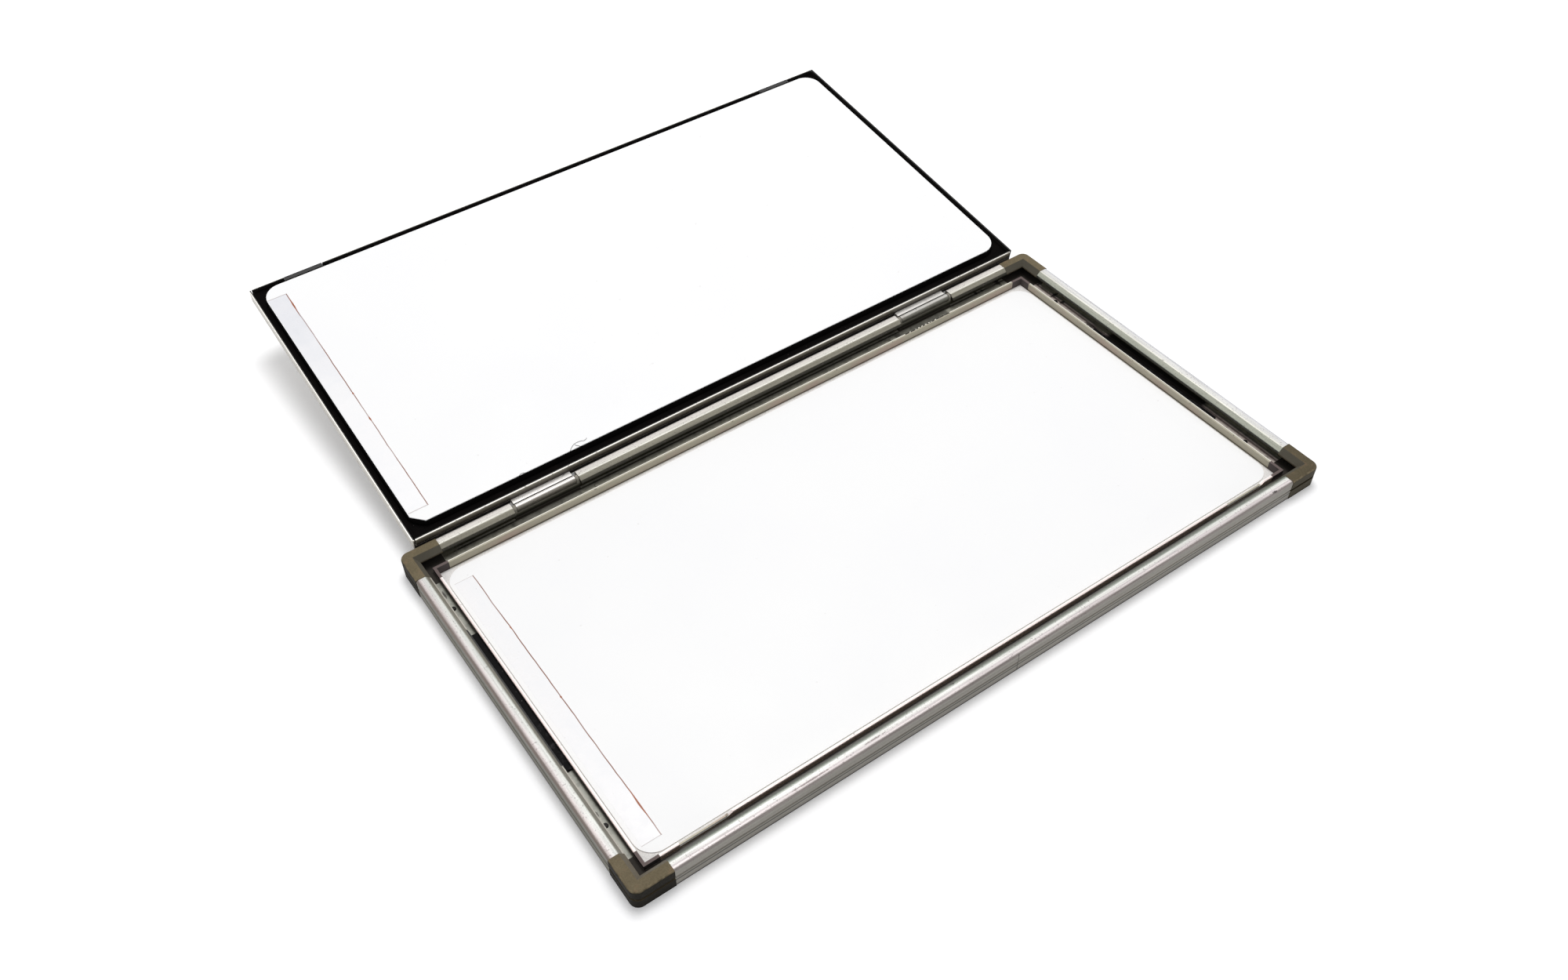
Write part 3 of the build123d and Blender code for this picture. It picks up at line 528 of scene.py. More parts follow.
def corner_plastic(name):
    """Olive moulded plastic with a fine moulded grain, rubbed at its outer edges, with painted shade and
    light.
    """
    coat = Paint(name)
    z, inset = coat.z, coat.frame_inset()
    grain = coat.noise(1.9, 3.0, 0.6)
    mottle = coat.noise(0.13, 4.0, 0.6)
    cloud = coat.span(mottle, 0.35, 0.7, 0, 0.16)
    upper = coat.above(z, CORNER_UPPER, 0.4)
    coat.colour = coat.dim((120, 109, 86), cloud)
    coat.shade(coat.span(coat.noise(2.2, 3.0, 0.6), 0.35, 0.65, 0, 0.22))
    coat.shade(coat.span(coat.x, 60, 150), coat.span(coat.y, 20, -60), 0.34)
    coat.cover((136, 108, 84), coat.span(coat.noise(0.21, 4.0, 0.7), 0.56, 0.72, 0, 0.4))
    # The outer walls are painted in shade, deepest on the left.
    outer = coat.all(coat.below(coat.level, 0.6, 0.25), coat.below(inset, 1.4, 0.2))
    coat.cover(coat.dim((82, 76, 62), cloud), outer)
    coat.shade(coat.span(coat.x, -160, 150, 0.86, 0.15), outer)
    # The slope into the channel is painted in shade, palest on the front left block, where it faces the
    # light.
    front_left = coat.below(coat.plus(coat.x, coat.y), -180.0, 20.0)
    slope_tone = coat.dim(coat.mix(front_left, (88, 84, 74), (112, 105, 92)), cloud)
    slope = coat.between(inset, *CORNER_SLOPE)
    coat.cover(slope_tone, slope, upper, coat.between(coat.nz, 0.4, 0.9, 0.08))
    # The well and the channel are painted in shade, and the rim lighter on its top face where light falls.
    well = coat.between(inset, *CORNER_WELL)
    coat.cover((92, 84, 72), well, upper, coat.span(coat.nz, 0.3, 0.5, 1, 0))
    coat.cover((54, 50, 46), coat.between(inset, *CORNER_CHANNEL), coat.below(z, 5.6, 1.1))
    rim = coat.all(coat.above(inset, CORNER_RIM, 0.05), coat.below(z, 6.5, 0.5))
    coat.cover(coat.dim((88, 81, 80), cloud), rim)
    coat.cover((108, 96, 94), rim, coat.span(coat.nz, 0.80, 0.95))
    edge = coat.all(coat.below(inset, 0.9), coat.between(coat.nz, 0.35, 0.9, 0.08))
    rubbed = coat.span(coat.noise(0.5, 3.0, 0.6), 0.4, 0.65, 0.1, 0.6)
    coat.cover((148, 134, 108), edge, coat.above(z, 8.5, 0.3), rubbed)
    coat.cover((40, 36, 30), coat.between(z, *CORNER_GROOVE, 0.05), coat.below(inset, 1.0), 0.7)
    # Painted shade at the foot of the outer walls.
    coat.shade(outer, coat.below(z, 0.45, 0.45), 0.7)
    normal = coat.bump(mottle, 0.08, 0.4, coat.bump(grain, 0.04, 0.5))
    return coat.finish(coat.spread(grain, 0.58, 0.74), normal, 0, 0.1)


def plain(name, colour, rough, scale, lid=False, metallic=0.0):
    """One tone with a slight mottle, a fine bump and uneven gloss."""
    coat = Paint(name, lid)
    grain = coat.noise(scale, 4.0)
    coat.colour = coat.dim(colour, coat.spread(grain, 0, 0.2))
    coat.shade(coat.span(coat.noise(scale / 12), 0.45, 0.75, 0, 0.15))
    roughness = coat.spread(grain, rough - 0.05, rough + 0.08)
    return coat.finish(roughness, coat.bump(grain, 0.03, 0.35), metallic, 0.4)


def rivet_metal(name):
    """Blackened rivet heads. Those of the back rail are as pale as its channel."""
    coat = Paint(name)
    grain = coat.noise(1.6, 4.0)
    coat.colour = coat.mix(coat.above(coat.y, 70.0, 1.0), (26, 23, 21), (150, 148, 136))
    coat.shade(coat.spread(grain, 0, 0.25))
    return coat.finish(coat.spread(grain, 0.45, 0.58), coat.bump(grain, 0.03, 0.35), 0.1, 0.15)


def screen_coat(name, lid):
    """White intensifying screen: a smooth coat with faint clouds, specks and hairline rubs."""
    coat = Paint(name, lid)
    clouds = coat.noise(0.014, 3.0, 0.5)
    fine = coat.noise(2.6, 3.0, 0.6)
    coat.colour = coat.mix(coat.spread(clouds), (254, 254, 254), (252, 252, 253))
    coat.cover((205, 200, 196), coat.specks(0.42, 0.80), 0.2)
    coat.cover((215, 212, 210), coat.scratches((0.5, 0.07, 0.5), 0.62, 0.70, 7.7), 0.08)
    normal = coat.bump(clouds, 0.04, 0.15, coat.bump(fine, 0.006, 0.5))
    return coat.finish(coat.spread(clouds, 0.40, 0.52), normal, 0, 0.3)


def film_strip(name, lid, near, far, line_x, blots, grey=None):
    """Glossy pale film with a wavy brown line of old glue along its inner edge, from near to far. Blots
    of thick glue are (place, half length). Grey is where the tone turns greyer."""
    coat = Paint(name, lid)
    clouds = coat.noise(0.24, 3.0, 0.6)
    coat.colour = coat.mix(coat.spread(clouds), (253, 252, 253), (249, 249, 251))
    if grey:
        wander = coat.spread(coat.noise(0.06), -9.0, 9.0)
        dull = coat.mix(coat.spread(clouds), (239, 239, 243), (233, 234, 239))
        coat.cover(dull, coat.span(coat.plus(coat.y, wander), *grey))
    coat.cover((190, 182, 176), coat.specks(1.3, 0.78), 0.4)
    wave = coat.spread(coat.noise(0.07, 2.0, 0.5), -0.16, 0.16)
    off = coat.away(coat.plus(coat.x, wave), line_x)
    strength = coat.span(coat.noise(0.045), 0.34, 0.52, 0.65, 1.0)
    line = coat.all(coat.span(off, 0.12, 0.27, 1, 0), strength, coat.between(coat.y, near, far, 0.3))
    coat.cover((132, 76, 52), line)
    for centre, half in blots:
        along = coat.away(coat.y, centre)
        swell = coat.span(along, 0, half, 0.42, 0.0)
        in_blot = coat.below(coat.minus(off, swell), 0, 0.08)
        coat.cover((158, 84, 46), in_blot, coat.below(along, half))
    to_end = coat.least(coat.away(coat.y, near), coat.away(coat.y, far))
    coat.cover((150, 130, 118), coat.span(to_end, 0.1, 0.3, 0.5, 0))
    return coat.finish(coat.spread(clouds, 0.24, 0.36), coat.bump(clouds, 0.02, 0.25), 0, 0.3)


def lid_metal(name):
    """Bright aluminium of the lid's lips, dark where their inner faces hold the foam."""
    coat = Paint(name, True)
    grain = coat.grain((0.04, 1.2, 1.2))
    mottle = coat.noise(0.12, 4.0, 0.6)
    coat.colour = coat.dim((224, 221, 212), coat.span(mottle, 0.35, 0.7, 0, 0.15))
    # The face towards the hinge is painted in shade, darkest at its foot.
    in_shade = coat.ramp(coat.z, (
        (-1.5, (20, 14, 12)), (0.2, (34, 30, 26)), (1.2, (58, 53, 46)), (3.4, (124, 119, 106)),
    ))
    coat.cover(in_shade, coat.hinge_side())
    seam = coat.between(coat.z, *LIP_SEAM_W, 0.06)
    coat.cover((74, 66, 58), seam, coat.below(coat.level, 0.65, 0.15), 0.8)
    # A painted highlight along the lips' crest, down over the top of the face towards the hinge.
    coat.cover((249, 246, 238), coat.above(coat.z, LIP_CREST_W, 0.1))
    # How much of the lip's thickness stays bright: less at the far side, and hardly any at the right end.
    right_end = coat.span(coat.x, 155.0, 155.3, 0.38, 0.02)
    bright = coat.least(right_end, coat.span(coat.y, 165.0, 165.5, 0.38, 0.25))
    inner = coat.above(coat.minus(coat.lid_inset(), bright), 0, 0.06)
    coat.cover((14, 13, 13), inner, coat.above(coat.z, -0.55, 0.03))
    coat.cover((104, 96, 88), coat.specks(0.8, 0.69), 0.6)
    coat.cover((120, 112, 104), coat.scratches((0.32, 0.9, 0.9), 0.56, 0.66, 5.3), 0.5)
    normal = coat.bump(mottle, 0.10, 0.3, coat.bump(grain, 0.03, 0.5))
    return coat.finish(coat.spread(grain, 0.34, 0.48), normal, 0.2, 0.35)


def painted_sheet(name, lid):
    """The wide outer sheets: satin champagne paint over aluminium, with handling marks."""
    coat = Paint(name, lid)
    peel = coat.noise(0.9, 2.0, 0.5)
    clouds = coat.noise(0.022, 4.0, 0.6)
    coat.colour = coat.mix(coat.spread(clouds), (178, 172, 160), (164, 158, 147))
    along = coat.scratches((0.7, 0.06, 0.7), 0.50, 0.62, 1.9)
    across = coat.scratches((0.06, 0.7, 0.7), 0.56, 0.66, 4.3)
    marks = coat.most(along, across)
    coat.cover((206, 202, 194), marks, 0.55)
    coat.cover((118, 110, 98), coat.span(coat.noise(0.16, 5.0, 0.7), 0.60, 0.74, 0, 0.35))
    if lid:
        worn = coat.span(coat.noise(0.15, 4.0), 0.35, 0.6, 0.4, 1.0)
        coat.cover((208, 203, 194), coat.below(coat.lid_inset(), 1.0, 0.6), worn)
        # The face towards the hinge is painted in shade.
        coat.cover((22, 17, 14), coat.hinge_side())
    else:
        # Its edge is painted dark, as the shade at the frame's foot.
        coat.cover((58, 55, 50), coat.upright, coat.below(coat.frame_inset(), 0.4))
    normal = coat.bump(marks, -0.02, 0.5, coat.bump(peel, 0.02, 0.4))
    return coat.finish(coat.spread(clouds, 0.38, 0.5), normal, 0.2)


def hinge_metal(name, lid, tone, shaded, barrel=False):
    """Bright plated steel, with pits. A face that leans away from up is painted in shade. A hinge leaf's
    barrel is painted with its highlights and shade."""
    coat = Paint(name, lid)
    grain = coat.grain((0.06, 1.5, 1.5))
    coat.colour = coat.dim(tone, coat.span(grain, 0.35, 0.7, 0, 0.18))
    coat.cover(shaded, coat.span(coat.nz, -0.1, 0.75, 1, 0))
    if barrel:
        barrel_highlight_and_shade = coat.ramp(coat.y, (
            (-1.45, (112, 108, 98)), (-1.15, (136, 132, 122)), (-0.95, (124, 118, 110)),
            (-0.7, (196, 190, 184)), (-0.45, (236, 232, 226)), (0.2, (246, 242, 238)),
            (0.9, (255, 252, 248)), (1.3, (255, 252, 248)),
        ))
        on_barrel = coat.below(coat.y, BARREL_END)
        barrel_highlight_and_shade = coat.dim(barrel_highlight_and_shade, coat.span(grain, 0.4, 0.7, 0, 0.2))
        coat.cover(barrel_highlight_and_shade, on_barrel, coat.above(coat.z, -1.2))
        # The right hinge is darker, its barrel most of all.
        coat.cover((92, 98, 88), coat.above(coat.x, 0), coat.span(on_barrel, 0, 1, 0.1, 0.4))
        groove = coat.between(coat.y, *LEAF_GROOVE, 0.05)
        step = coat.all(coat.above(coat.y, LEAF_STEP[0]), coat.below(coat.y, LEAF_STEP[1], 0.02))
        coat.cover((48, 40, 38), coat.most(groove, coat.all(step, coat.below(coat.ny, -0.5))))
        dirt = ((88.2, 1.5, 0.9, 0.35), (91.6, 1.5, 0.9, 0.35))
        coat.colour = coat.spotted(coat.colour, (30, 22, 20), *dirt)
    pits = coat.all(coat.specks(0.9, 0.74), 0.7)
    coat.cover((70, 60, 54), pits)
    coat.cover((150, 130, 112), coat.span(coat.noise(0.26, 4.0, 0.6), 0.58, 0.75, 0, 0.3))
    normal = coat.bump(pits, -0.04, 0.6, coat.bump(grain, 0.03, 0.5))
    return coat.finish(coat.spread(grain, 0.32, 0.46), normal, 0.2, 0.4)


def block_metal(name):
    """Hinge block in the channel. Its inner face is painted with the channel's stripes of shade and
    reflection.
    """
    coat = Paint(name)
    grain = coat.grain((0.06, 1.5, 1.5))
    coat.colour = coat.ramp(coat.z, (
        (1.0, (96, 92, 82)), (2.4, (84, 80, 72)), (3.4, (34, 32, 25)), (3.9, (80, 75, 70)),
        (4.4, (26, 25, 18)), (5.2, (40, 40, 30)), (6.0, (96, 94, 84)), (6.6, (132, 129, 118)),
        (9.6, (150, 145, 135)),
    ))
    coat.shade(coat.span(grain, 0.35, 0.7, 0, 0.25))
    return coat.finish(coat.spread(grain, 0.45, 0.6), coat.bump(grain, 0.03, 0.5), 0.1, 0.15)


def foam_skin(name):
    """Black open-cell foam with pores, lint and a slightly brown cast."""
    coat = Paint(name, True)
    fuzz = coat.noise(1.8, 4.0, 0.7)
    coat.colour = coat.mix(coat.spread(fuzz), (7, 6, 6), (14, 12, 12))
    coat.cover((24, 19, 18), coat.span(coat.noise(0.16), 0.5, 0.8, 0, 0.5))
    coat.cover((110, 102, 98), coat.specks(1.1, 0.79), 0.3)
    normal = coat.bump(fuzz, 0.08, 0.6, coat.bump(coat.cells(2.6), 0.12, 0.6))
    return coat.finish(coat.spread(fuzz, 0.86, 0.98), normal, 0, 0.04)


def black_tape(name):
    """Black tape in the channel, dusty, scuffed and with a painted sheen towards the front."""
    coat = Paint(name)
    grain = coat.noise(0.9, 4.0, 0.6)
    patches = coat.span(coat.noise(0.23, 4.0, 0.7), 0.52, 0.68)
    coat.colour = coat.mix(coat.spread(grain), (10, 10, 11), (16, 15, 16))
    # Grey patches towards the front: scuffs and a painted sheen.
    coat.cover((90, 88, 90), patches, coat.span(coat.y, -14, 0, 1, 0.1), 0.3)
    coat.cover((150, 148, 146), coat.specks(1.5, 0.76), 0.6)
    return coat.finish(coat.spread(grain, 0.6, 0.75), coat.bump(grain, 0.03, 0.5), 0, 0.08)


# Places of thick glue along the strips: frame y or lid v, then half length.
FRONT_GLUE = ((37.2, 1.6), (-2.0, 0.8), (-56.0, 9.0))
BACK_GLUE = ((68.6, 1.8), (85.0, 0.9), (146.0, 6.0))

corner = corner_plastic("corner_plastic")
leaf = hinge_metal("leaf_metal", True, (255, 252, 248), (158, 152, 144), barrel=True)
pin = hinge_metal("pin_metal", False, (200, 194, 186), (104, 98, 92))
block = block_metal("block_metal")
foam = foam_skin("foam_black")
latch = plain("latch_black", (22, 21, 21), lid=True, rough=0.42, scale=1.4)
rivet = rivet_metal("rivet_dark")
tape = black_tape("black_tape")
LOOKS = {
    "front_panel": painted_sheet("panel_paint", False),
    "front_liner": plain("liner_card", (246, 243, 240), rough=0.6, scale=1.5),
    "front_screen": screen_coat("front_screen_coat", False),
    "front_id_strip": film_strip("front_strip_film", False, -70.9, 69.1, line_x=-142.3, blots=FRONT_GLUE),
    "channel_rivets": rivet, "hinge_rivets": rivet, "leaf_rivets": leaf,
    "back_panel": painted_sheet("lid_paint", True), "lid_pan": lid_metal("lid_metal"),
    "lead_foil": plain("foil_grey", (112, 114, 118), lid=True, rough=0.45, scale=0.3, metallic=0.4),
    "back_screen": screen_coat("back_screen_coat", True),
    "back_id_strip": film_strip(
        "back_strip_film", True, 15.9, 154.1, line_x=-143.62, blots=BACK_GLUE, grey=(80.0, 140.0),
    ),
    "pressure_pad": foam, "seal_foam": foam,
}
PAIRED_LOOKS = {
    "corner_front": corner, "corner_back": corner, "seal_strip": tape,
    "hinge_block": block, "hinge_pin": pin, "hinge_leaf": leaf,
    "latch_guide": leaf, "latch_tongue": latch, "latch_button": latch, "latch_spring": leaf,
}
for pair, look in PAIRED_LOOKS.items():
    for side_name, _ in SIDES:
        LOOKS[f"{pair}_{side_name}"] = look
for rail, tones in RAILS.items():
    LOOKS[rail] = rail_metal(rail, **tones)
for name, node in frame["nodes"].items():
    node.data.materials.clear()
    node.data.materials.append(LOOKS[name])

# ---- Foam and springs, in lid axes ----

# CAD nodes that the foam follows.
(_, _, PAN_FLOOR), (_, _, FOIL_TOP) = lid_box("lead_foil")
guide_low, guide_high = lid_box("latch_guide_right")
tongue_low, tongue_high = lid_box("latch_tongue_right")
pad_low, pad_high = lid_box("pressure_pad")
(_, seal_near, _), (seal_half, seal_far, seal_top) = lid_box("seal_foam")

# Pressure pad, with its pockets over the latches.
PAD_TOP = pad_high[2]
PAD_CENTRE = tidied(*((low + high) / 2 for low, high in zip(pad_low[:2], pad_high)))
PAD_HALF = tidied(*((high - low) / 2 for low, high in zip(pad_low[:2], pad_high)))
PAD_CORNER = 8.2
# How far the pad's side stands out at each height w.
PAD_SIDE = (
    (FOIL_TOP, -0.45), (FOIL_TOP + 0.12, -0.15), (0.5, 0.0), (1.6, 0.07), (2.8, 0.10),
    (4.0, 0.07), (5.0, 0.0), (5.45, -0.10), (5.62, -0.22), (PAD_TOP, -0.5),
)
# A pocket leaves a gap round its guide, and runs out past the pad's far side and underside.
POCKET_GAP = 0.5
POCKET_FAR = 170.0
POCKET_FOOT = 1.0
POCKET_ROOF = 0.4
POCKET_HALF = (guide_high[0] - guide_low[0]) / 2 + POCKET_GAP
POCKET_V = (guide_low[1] - POCKET_GAP, POCKET_FAR)
POCKET_W = (FOIL_TOP - POCKET_FOOT, tongue_high[2] + POCKET_ROOF)


def outset(edge, at_ends, at_sides):
    """An outer edge, as (half length, near edge, far edge), moved outwards."""
    half, near, far = edge
    return tidied(half + at_ends, near - at_sides, far + at_sides)


# Foam border, with its outer edge at three levels.
SEAL_GAP = 0.3
SEAL_SINK = 0.02
SEAL_TOP = seal_top - SEAL_SINK
SEAL_CREST = 3.85
SEAL_LATCH_GAP = (tongue_high[0] - tongue_low[0]) / 2 + SEAL_GAP
SEAL_FAR_SIDE = 160.0
SEAL_FOOT = (seal_half, seal_near, seal_far)  # its lower part
SEAL_UPPER = outset(SEAL_FOOT, 0.52, 0.52)  # above the step of the lips, where it fills out to them
SEAL_STEP = outset(SEAL_FOOT, -0.55, -0.25)  # where its raised edge starts, just outside the frame's rim

# Latch springs.
SPRING_START = 151.9
SPRING_LENGTH = 3.8
SPRING_W = 1.1
SPRING_RADIUS = 1.15
SPRING_WIRE = 0.15
SPRING_TURNS = 5
SPRING_STEPS = 24

# Loose fibres of the pad that curl over the screen's near edge: knots (x, v, w).
FIBRE_ROOT = 0.09
FIBRE_TIP = 0.07
FIBRES = (
    (
        (-82.9, 9.6, 5.2), (-82.7, 9.25, 5.7), (-82.3, 9.25, 6.12), (-81.6, 9.8, 6.2), (-81.0, 10.4, 6.2),
        (-79.1, 11.6, 6.2), (-77.4, 11.8, 6.2), (-75.6, 11.6, 6.2), (-74.4, 11.1, 6.2), (-72.8, 11.7, 6.2),
    ),
    (
        (-76.9, 9.6, 5.2), (-77.0, 9.25, 5.7), (-77.2, 9.25, 6.12), (-77.8, 9.9, 6.2), (-78.5, 10.6, 6.2),
        (-78.9, 11.3, 6.2),
    ),
    (
        (-106.8, 9.6, 5.2), (-106.6, 9.25, 5.8), (-106.0, 9.3, 6.14), (-105.2, 9.75, 6.18),
        (-104.0, 9.7, 6.18), (-103.3, 9.3, 6.14), (-103.1, 9.3, 5.7),
    ),
)


def rounded_outline(centre, half, radius, pitch, towards=None):
    """Points and outward directions round a rectangle with round corners, anticlockwise from its far
    right corner. Towards is an outer rectangle whose sharp corners get a point of their own."""
    outline = []
    corners = ((1, 1, 0), (-1, 1, 90), (-1, -1, 180), (1, -1, 270))
    steps = 10

    def corner_hub(sx, sy):
        return Vector((centre[0] + sx * (half[0] - radius), centre[1] + sy * (half[1] - radius)))

    for index, (sx, sy, start) in enumerate(corners):
        hub = corner_hub(sx, sy)
        turns = [90 * k / steps for k in range(steps + 1)]
        if towards:
            tip = Vector((sx * towards[0], towards[2] if sy > 0 else towards[1])) - hub
            turns.append((math.degrees(math.atan2(tip.y, tip.x)) - start) % 360)
        for turn in sorted(turns):
            angle = math.radians(start + turn)
            facing = Vector((math.cos(angle), math.sin(angle)))
            outline.append((hub + radius * facing, facing))
        last, facing = outline[-1]
        following = corner_hub(*corners[(index + 1) % 4][:2]) + radius * facing
        count = int((following - last).length / pitch)
        for k in range(1, count):
            outline.append((last.lerp(following, k / count), facing))
    return outline


def ripple(x, v, w, size):
    """Smooth noise from -1 to 1 with features of about the given size."""
    return solid_noise.noise(Vector((x / size, v / size, w / size)))


def closed_skin(bm, rings):
    """Faces between successive closed rings of vertices, and over both ends."""
    for a, b in zip(rings, rings[1:]):
        for j in range(len(a)):
            k = (j + 1) % len(a)
            bm.faces.new((a[j], a[k], b[k], b[j]))
    bm.faces.new(rings[0])
    bm.faces.new(rings[-1])


def add_object(name, data):
    added = bpy.data.objects.new(name, data)
    bpy.context.collection.objects.link(added)
    return added


def make_piece(name, bm):
    bmesh.ops.recalc_face_normals(bm, faces=bm.faces)
    mesh = bpy.data.meshes.new(name)
    bm.to_mesh(mesh)
    bm.free()
    mesh.polygons.foreach_set("use_smooth", [True] * len(mesh.polygons))
    return add_object(name, mesh)


def thread(bm, points, thick, thin, across=(0, 0, 1), sides=6):
    """A tapering round fibre or wire through points of the lid. None of it may run the way of across."""
    rings = []
    last = len(points) - 1
    for index, point in enumerate(points):
        run = (Vector(points[min(index + 1, last)]) - Vector(points[max(index - 1, 0)])).normalized()
        side = run.cross(Vector(across)).normalized()
        rise = side.cross(run)
        radius = thick + (thin - thick) * index / last
        ring = []
        for k in range(sides):
            angle = math.tau * k / sides
            offset = radius * (math.cos(angle) * side + math.sin(angle) * rise)
            ring.append(bm.verts.new(on_lid(*(Vector(point) + offset))))
        rings.append(ring)
    closed_skin(bm, rings)


def smooth_path(knots, steps=8):
    """A curve through knots, as points."""
    path = []
    knots = [Vector(knot) for knot in knots]
    for i in range(len(knots) - 1):
        p0, p1 = knots[max(i - 1, 0)], knots[i]
        p2, p3 = knots[i + 1], knots[min(i + 2, len(knots) - 1)]
        slope = p2 - p0
        bend = 2 * p0 - 5 * p1 + 4 * p2 - p3
        twist = 3 * p1 - p0 - 3 * p2 + p3
        for k in range(steps):
            t = k / steps
            path.append(0.5 * ((2 * p1) + slope * t + bend * t * t + twist * t ** 3))
    path.append(knots[-1])
    return path


def cut_pocket(pad, side):
    """Takes the pocket over one latch out of the pad."""
    near, far = POCKET_V
    bm = bmesh.new()
    rings = []
    for w in POCKET_W:
        corners = ((-POCKET_HALF, near), (POCKET_HALF, near), (POCKET_HALF, far), (-POCKET_HALF, far))
        rings.append([bm.verts.new(on_lid(side * LATCH_X + x, v, w)) for x, v in corners])
    closed_skin(bm, rings)
    cutter = make_piece("cutter", bm)
    cut = pad.modifiers.new("pocket", "BOOLEAN")
    cut.object = cutter
    cut.operation = "DIFFERENCE"
    cut.solver = "EXACT"
    shaped = bpy.data.meshes.new_from_object(pad.evaluated_get(bpy.context.evaluated_depsgraph_get()))
    pad.modifiers.clear()
    pad.data = shaped
    bpy.data.objects.remove(cutter)


def pressure_pad():
    """Thick foam slab: soft edges, sides that bulge a little, a pocket over each latch, loose fibres."""
    bm = bmesh.new()
    outline = rounded_outline(PAD_CENTRE, PAD_HALF, PAD_CORNER, 2.0)
    rings = []
    for w, out in PAD_SIDE:
        ring = []
        for point, facing in outline:
            rough = 0.07 * ripple(point.x, point.y, w, 1.7) + 0.08 * ripple(point.x, point.y, w, 9.0)
            place = point + (out + rough) * facing
            ring.append(bm.verts.new(on_lid(*place, w)))
        rings.append(ring)
    closed_skin(bm, rings)
    pad = make_piece("pressure_pad_foam", bm)
    for _, side in SIDES:
        cut_pocket(pad, side)
    whole = bmesh.new()
    whole.from_mesh(pad.data)
    for knots in FIBRES:
        thread(whole, smooth_path(knots), FIBRE_ROOT, FIBRE_TIP)
    whole.to_mesh(pad.data)
    whole.free()
    return pad


def reach(point, facing, edge):
    """Distance from an inner point, the way it faces, to the rectangle of an outer edge."""
    half_x, near, far = edge
    ways = []
    if abs(facing.x) > 1e-6:
        ways.append(((half_x if facing.x > 0 else -half_x) - point.x) / facing.x)
    if abs(facing.y) > 1e-6:
        ways.append(((far if facing.y > 0 else near) - point.y) / facing.y)
    return min(ways)


def seal_foam():
    """Foam border between the pad and the lips, in two lengths parted by the latches. Its outer edge
    swells up beside the lips, clear of the frame's rim when the lid is shut."""
    bm = bmesh.new()
    half = (PAD_HALF[0] + SEAL_GAP, PAD_HALF[1] + SEAL_GAP)
    outline = rounded_outline(PAD_CENTRE, half, PAD_CORNER + SEAL_GAP, 1.5, SEAL_STEP)

    def section(point, facing):
        foot, step, upper = (reach(point, facing, edge) for edge in (SEAL_FOOT, SEAL_STEP, SEAL_UPPER))
        x, v = point
        lift = 0.07 * ripple(x, v, 0, 1.6) + 0.06 * ripple(x, v, 3, 11.0)
        sway = 0.05 * ripple(x, v, 7, 2.3)
        profile = (
            (0.0, PAN_FLOOR), (sway, 1.2), (sway, SEAL_TOP - 0.45), (0.14 + sway, SEAL_TOP - 0.12),
            (0.42, SEAL_TOP + lift), (0.5 * step, SEAL_TOP + 0.04 + lift), (step - 0.12, SEAL_TOP + lift),
            (step + 0.06, SEAL_TOP + 0.5), (step + 0.22, SEAL_CREST - 0.15 + lift),
            (0.5 * (step + upper) + 0.12, SEAL_CREST + lift), (upper - 0.08, SEAL_CREST - 0.12 + lift),
            (upper, SEAL_CREST - 0.5), (upper, 1.75), (foot, 1.15), (foot, PAN_FLOOR),
        )
        return [bm.verts.new(on_lid(*(point + out * facing), w)) for out, w in profile]

    def end_station(x):
        return Vector((x, PAD_CENTRE[1] + half[1])), Vector((0, 1))

    inner_x, outer_x = LATCH_X - SEAL_LATCH_GAP, LATCH_X + SEAL_LATCH_GAP
    far_side = [station for station in outline if station[0].y > SEAL_FAR_SIDE]
    middle = [station for station in far_side if abs(station[0].x) < inner_x]
    middle.sort(key=lambda station: -station[0].x)
    # The long length runs from the left latch round the near side to the right one.
    first = outline.index(next(station for station in far_side if station[0].x < -outer_x))
    right_part = [station for station in outline[:first] if station[0].x > outer_x]
    right_part.sort(key=lambda station: (math.atan2(station[1].y, station[1].x), -station[0].x))
    short = [end_station(inner_x), *middle, end_station(-inner_x)]
    long = [end_station(-outer_x), *outline[first:], *right_part, end_station(outer_x)]
    for stations in (short, long):
        closed_skin(bm, [section(point, facing) for point, facing in stations])
    return make_piece("seal_foam_border", bm)


def latch_spring(side_name, side):
    """Compression spring of a latch, drawn as a coil in place of the CAD spring; it is not attached to the
    lid or the slide.
    """
    points = []
    count = SPRING_TURNS * SPRING_STEPS
    x = side * LATCH_X
    for k in range(count + 1):
        angle = math.tau * k / SPRING_STEPS
        out, rise = SPRING_RADIUS * math.cos(angle), SPRING_RADIUS * math.sin(angle)
        points.append((x + out, SPRING_START + SPRING_LENGTH * k / count, SPRING_W + rise))
    bm = bmesh.new()
    thread(bm, points, SPRING_WIRE, SPRING_WIRE, (0, 1, 0), 8)
    coil = make_piece(f"latch_spring_{side_name}_coil", bm)
    coil.data.materials.append(leaf)
    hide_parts(f"latch_spring_{side_name}")
    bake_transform(coil)


for side_name, side in SIDES:
    latch_spring(side_name, side)
pad = pressure_pad()
seal = seal_foam()
for piece, node in ((pad, "pressure_pad"), (seal, "seal_foam")):
    piece.data.materials.clear()
    piece.data.materials.append(foam)
    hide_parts(node)
    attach(piece, "lid")

# ---- Floor, light and camera, in metres ----

FLOOR_SIZE = 40.0
FLOOR_TONE = (0.93, 0.93, 0.94)
# What the camera sees of the floor above the light that falls on it: the shares by the cassette and far
# off, and the distances between which one turns into the other.
FLOOR_GLOW = (0.20, 0.62)
FLOOR_FADE = (0.17, 0.8)
SKY_LIGHT = 0.44
SKY_SEEN = 1.0
LAMP_PLACE = (0.30, 0.42, 1.90)
LAMP_AIM = (0, 0.05, 0)
LAMP_SIZE = 0.9
LAMP_POWER = 22.8
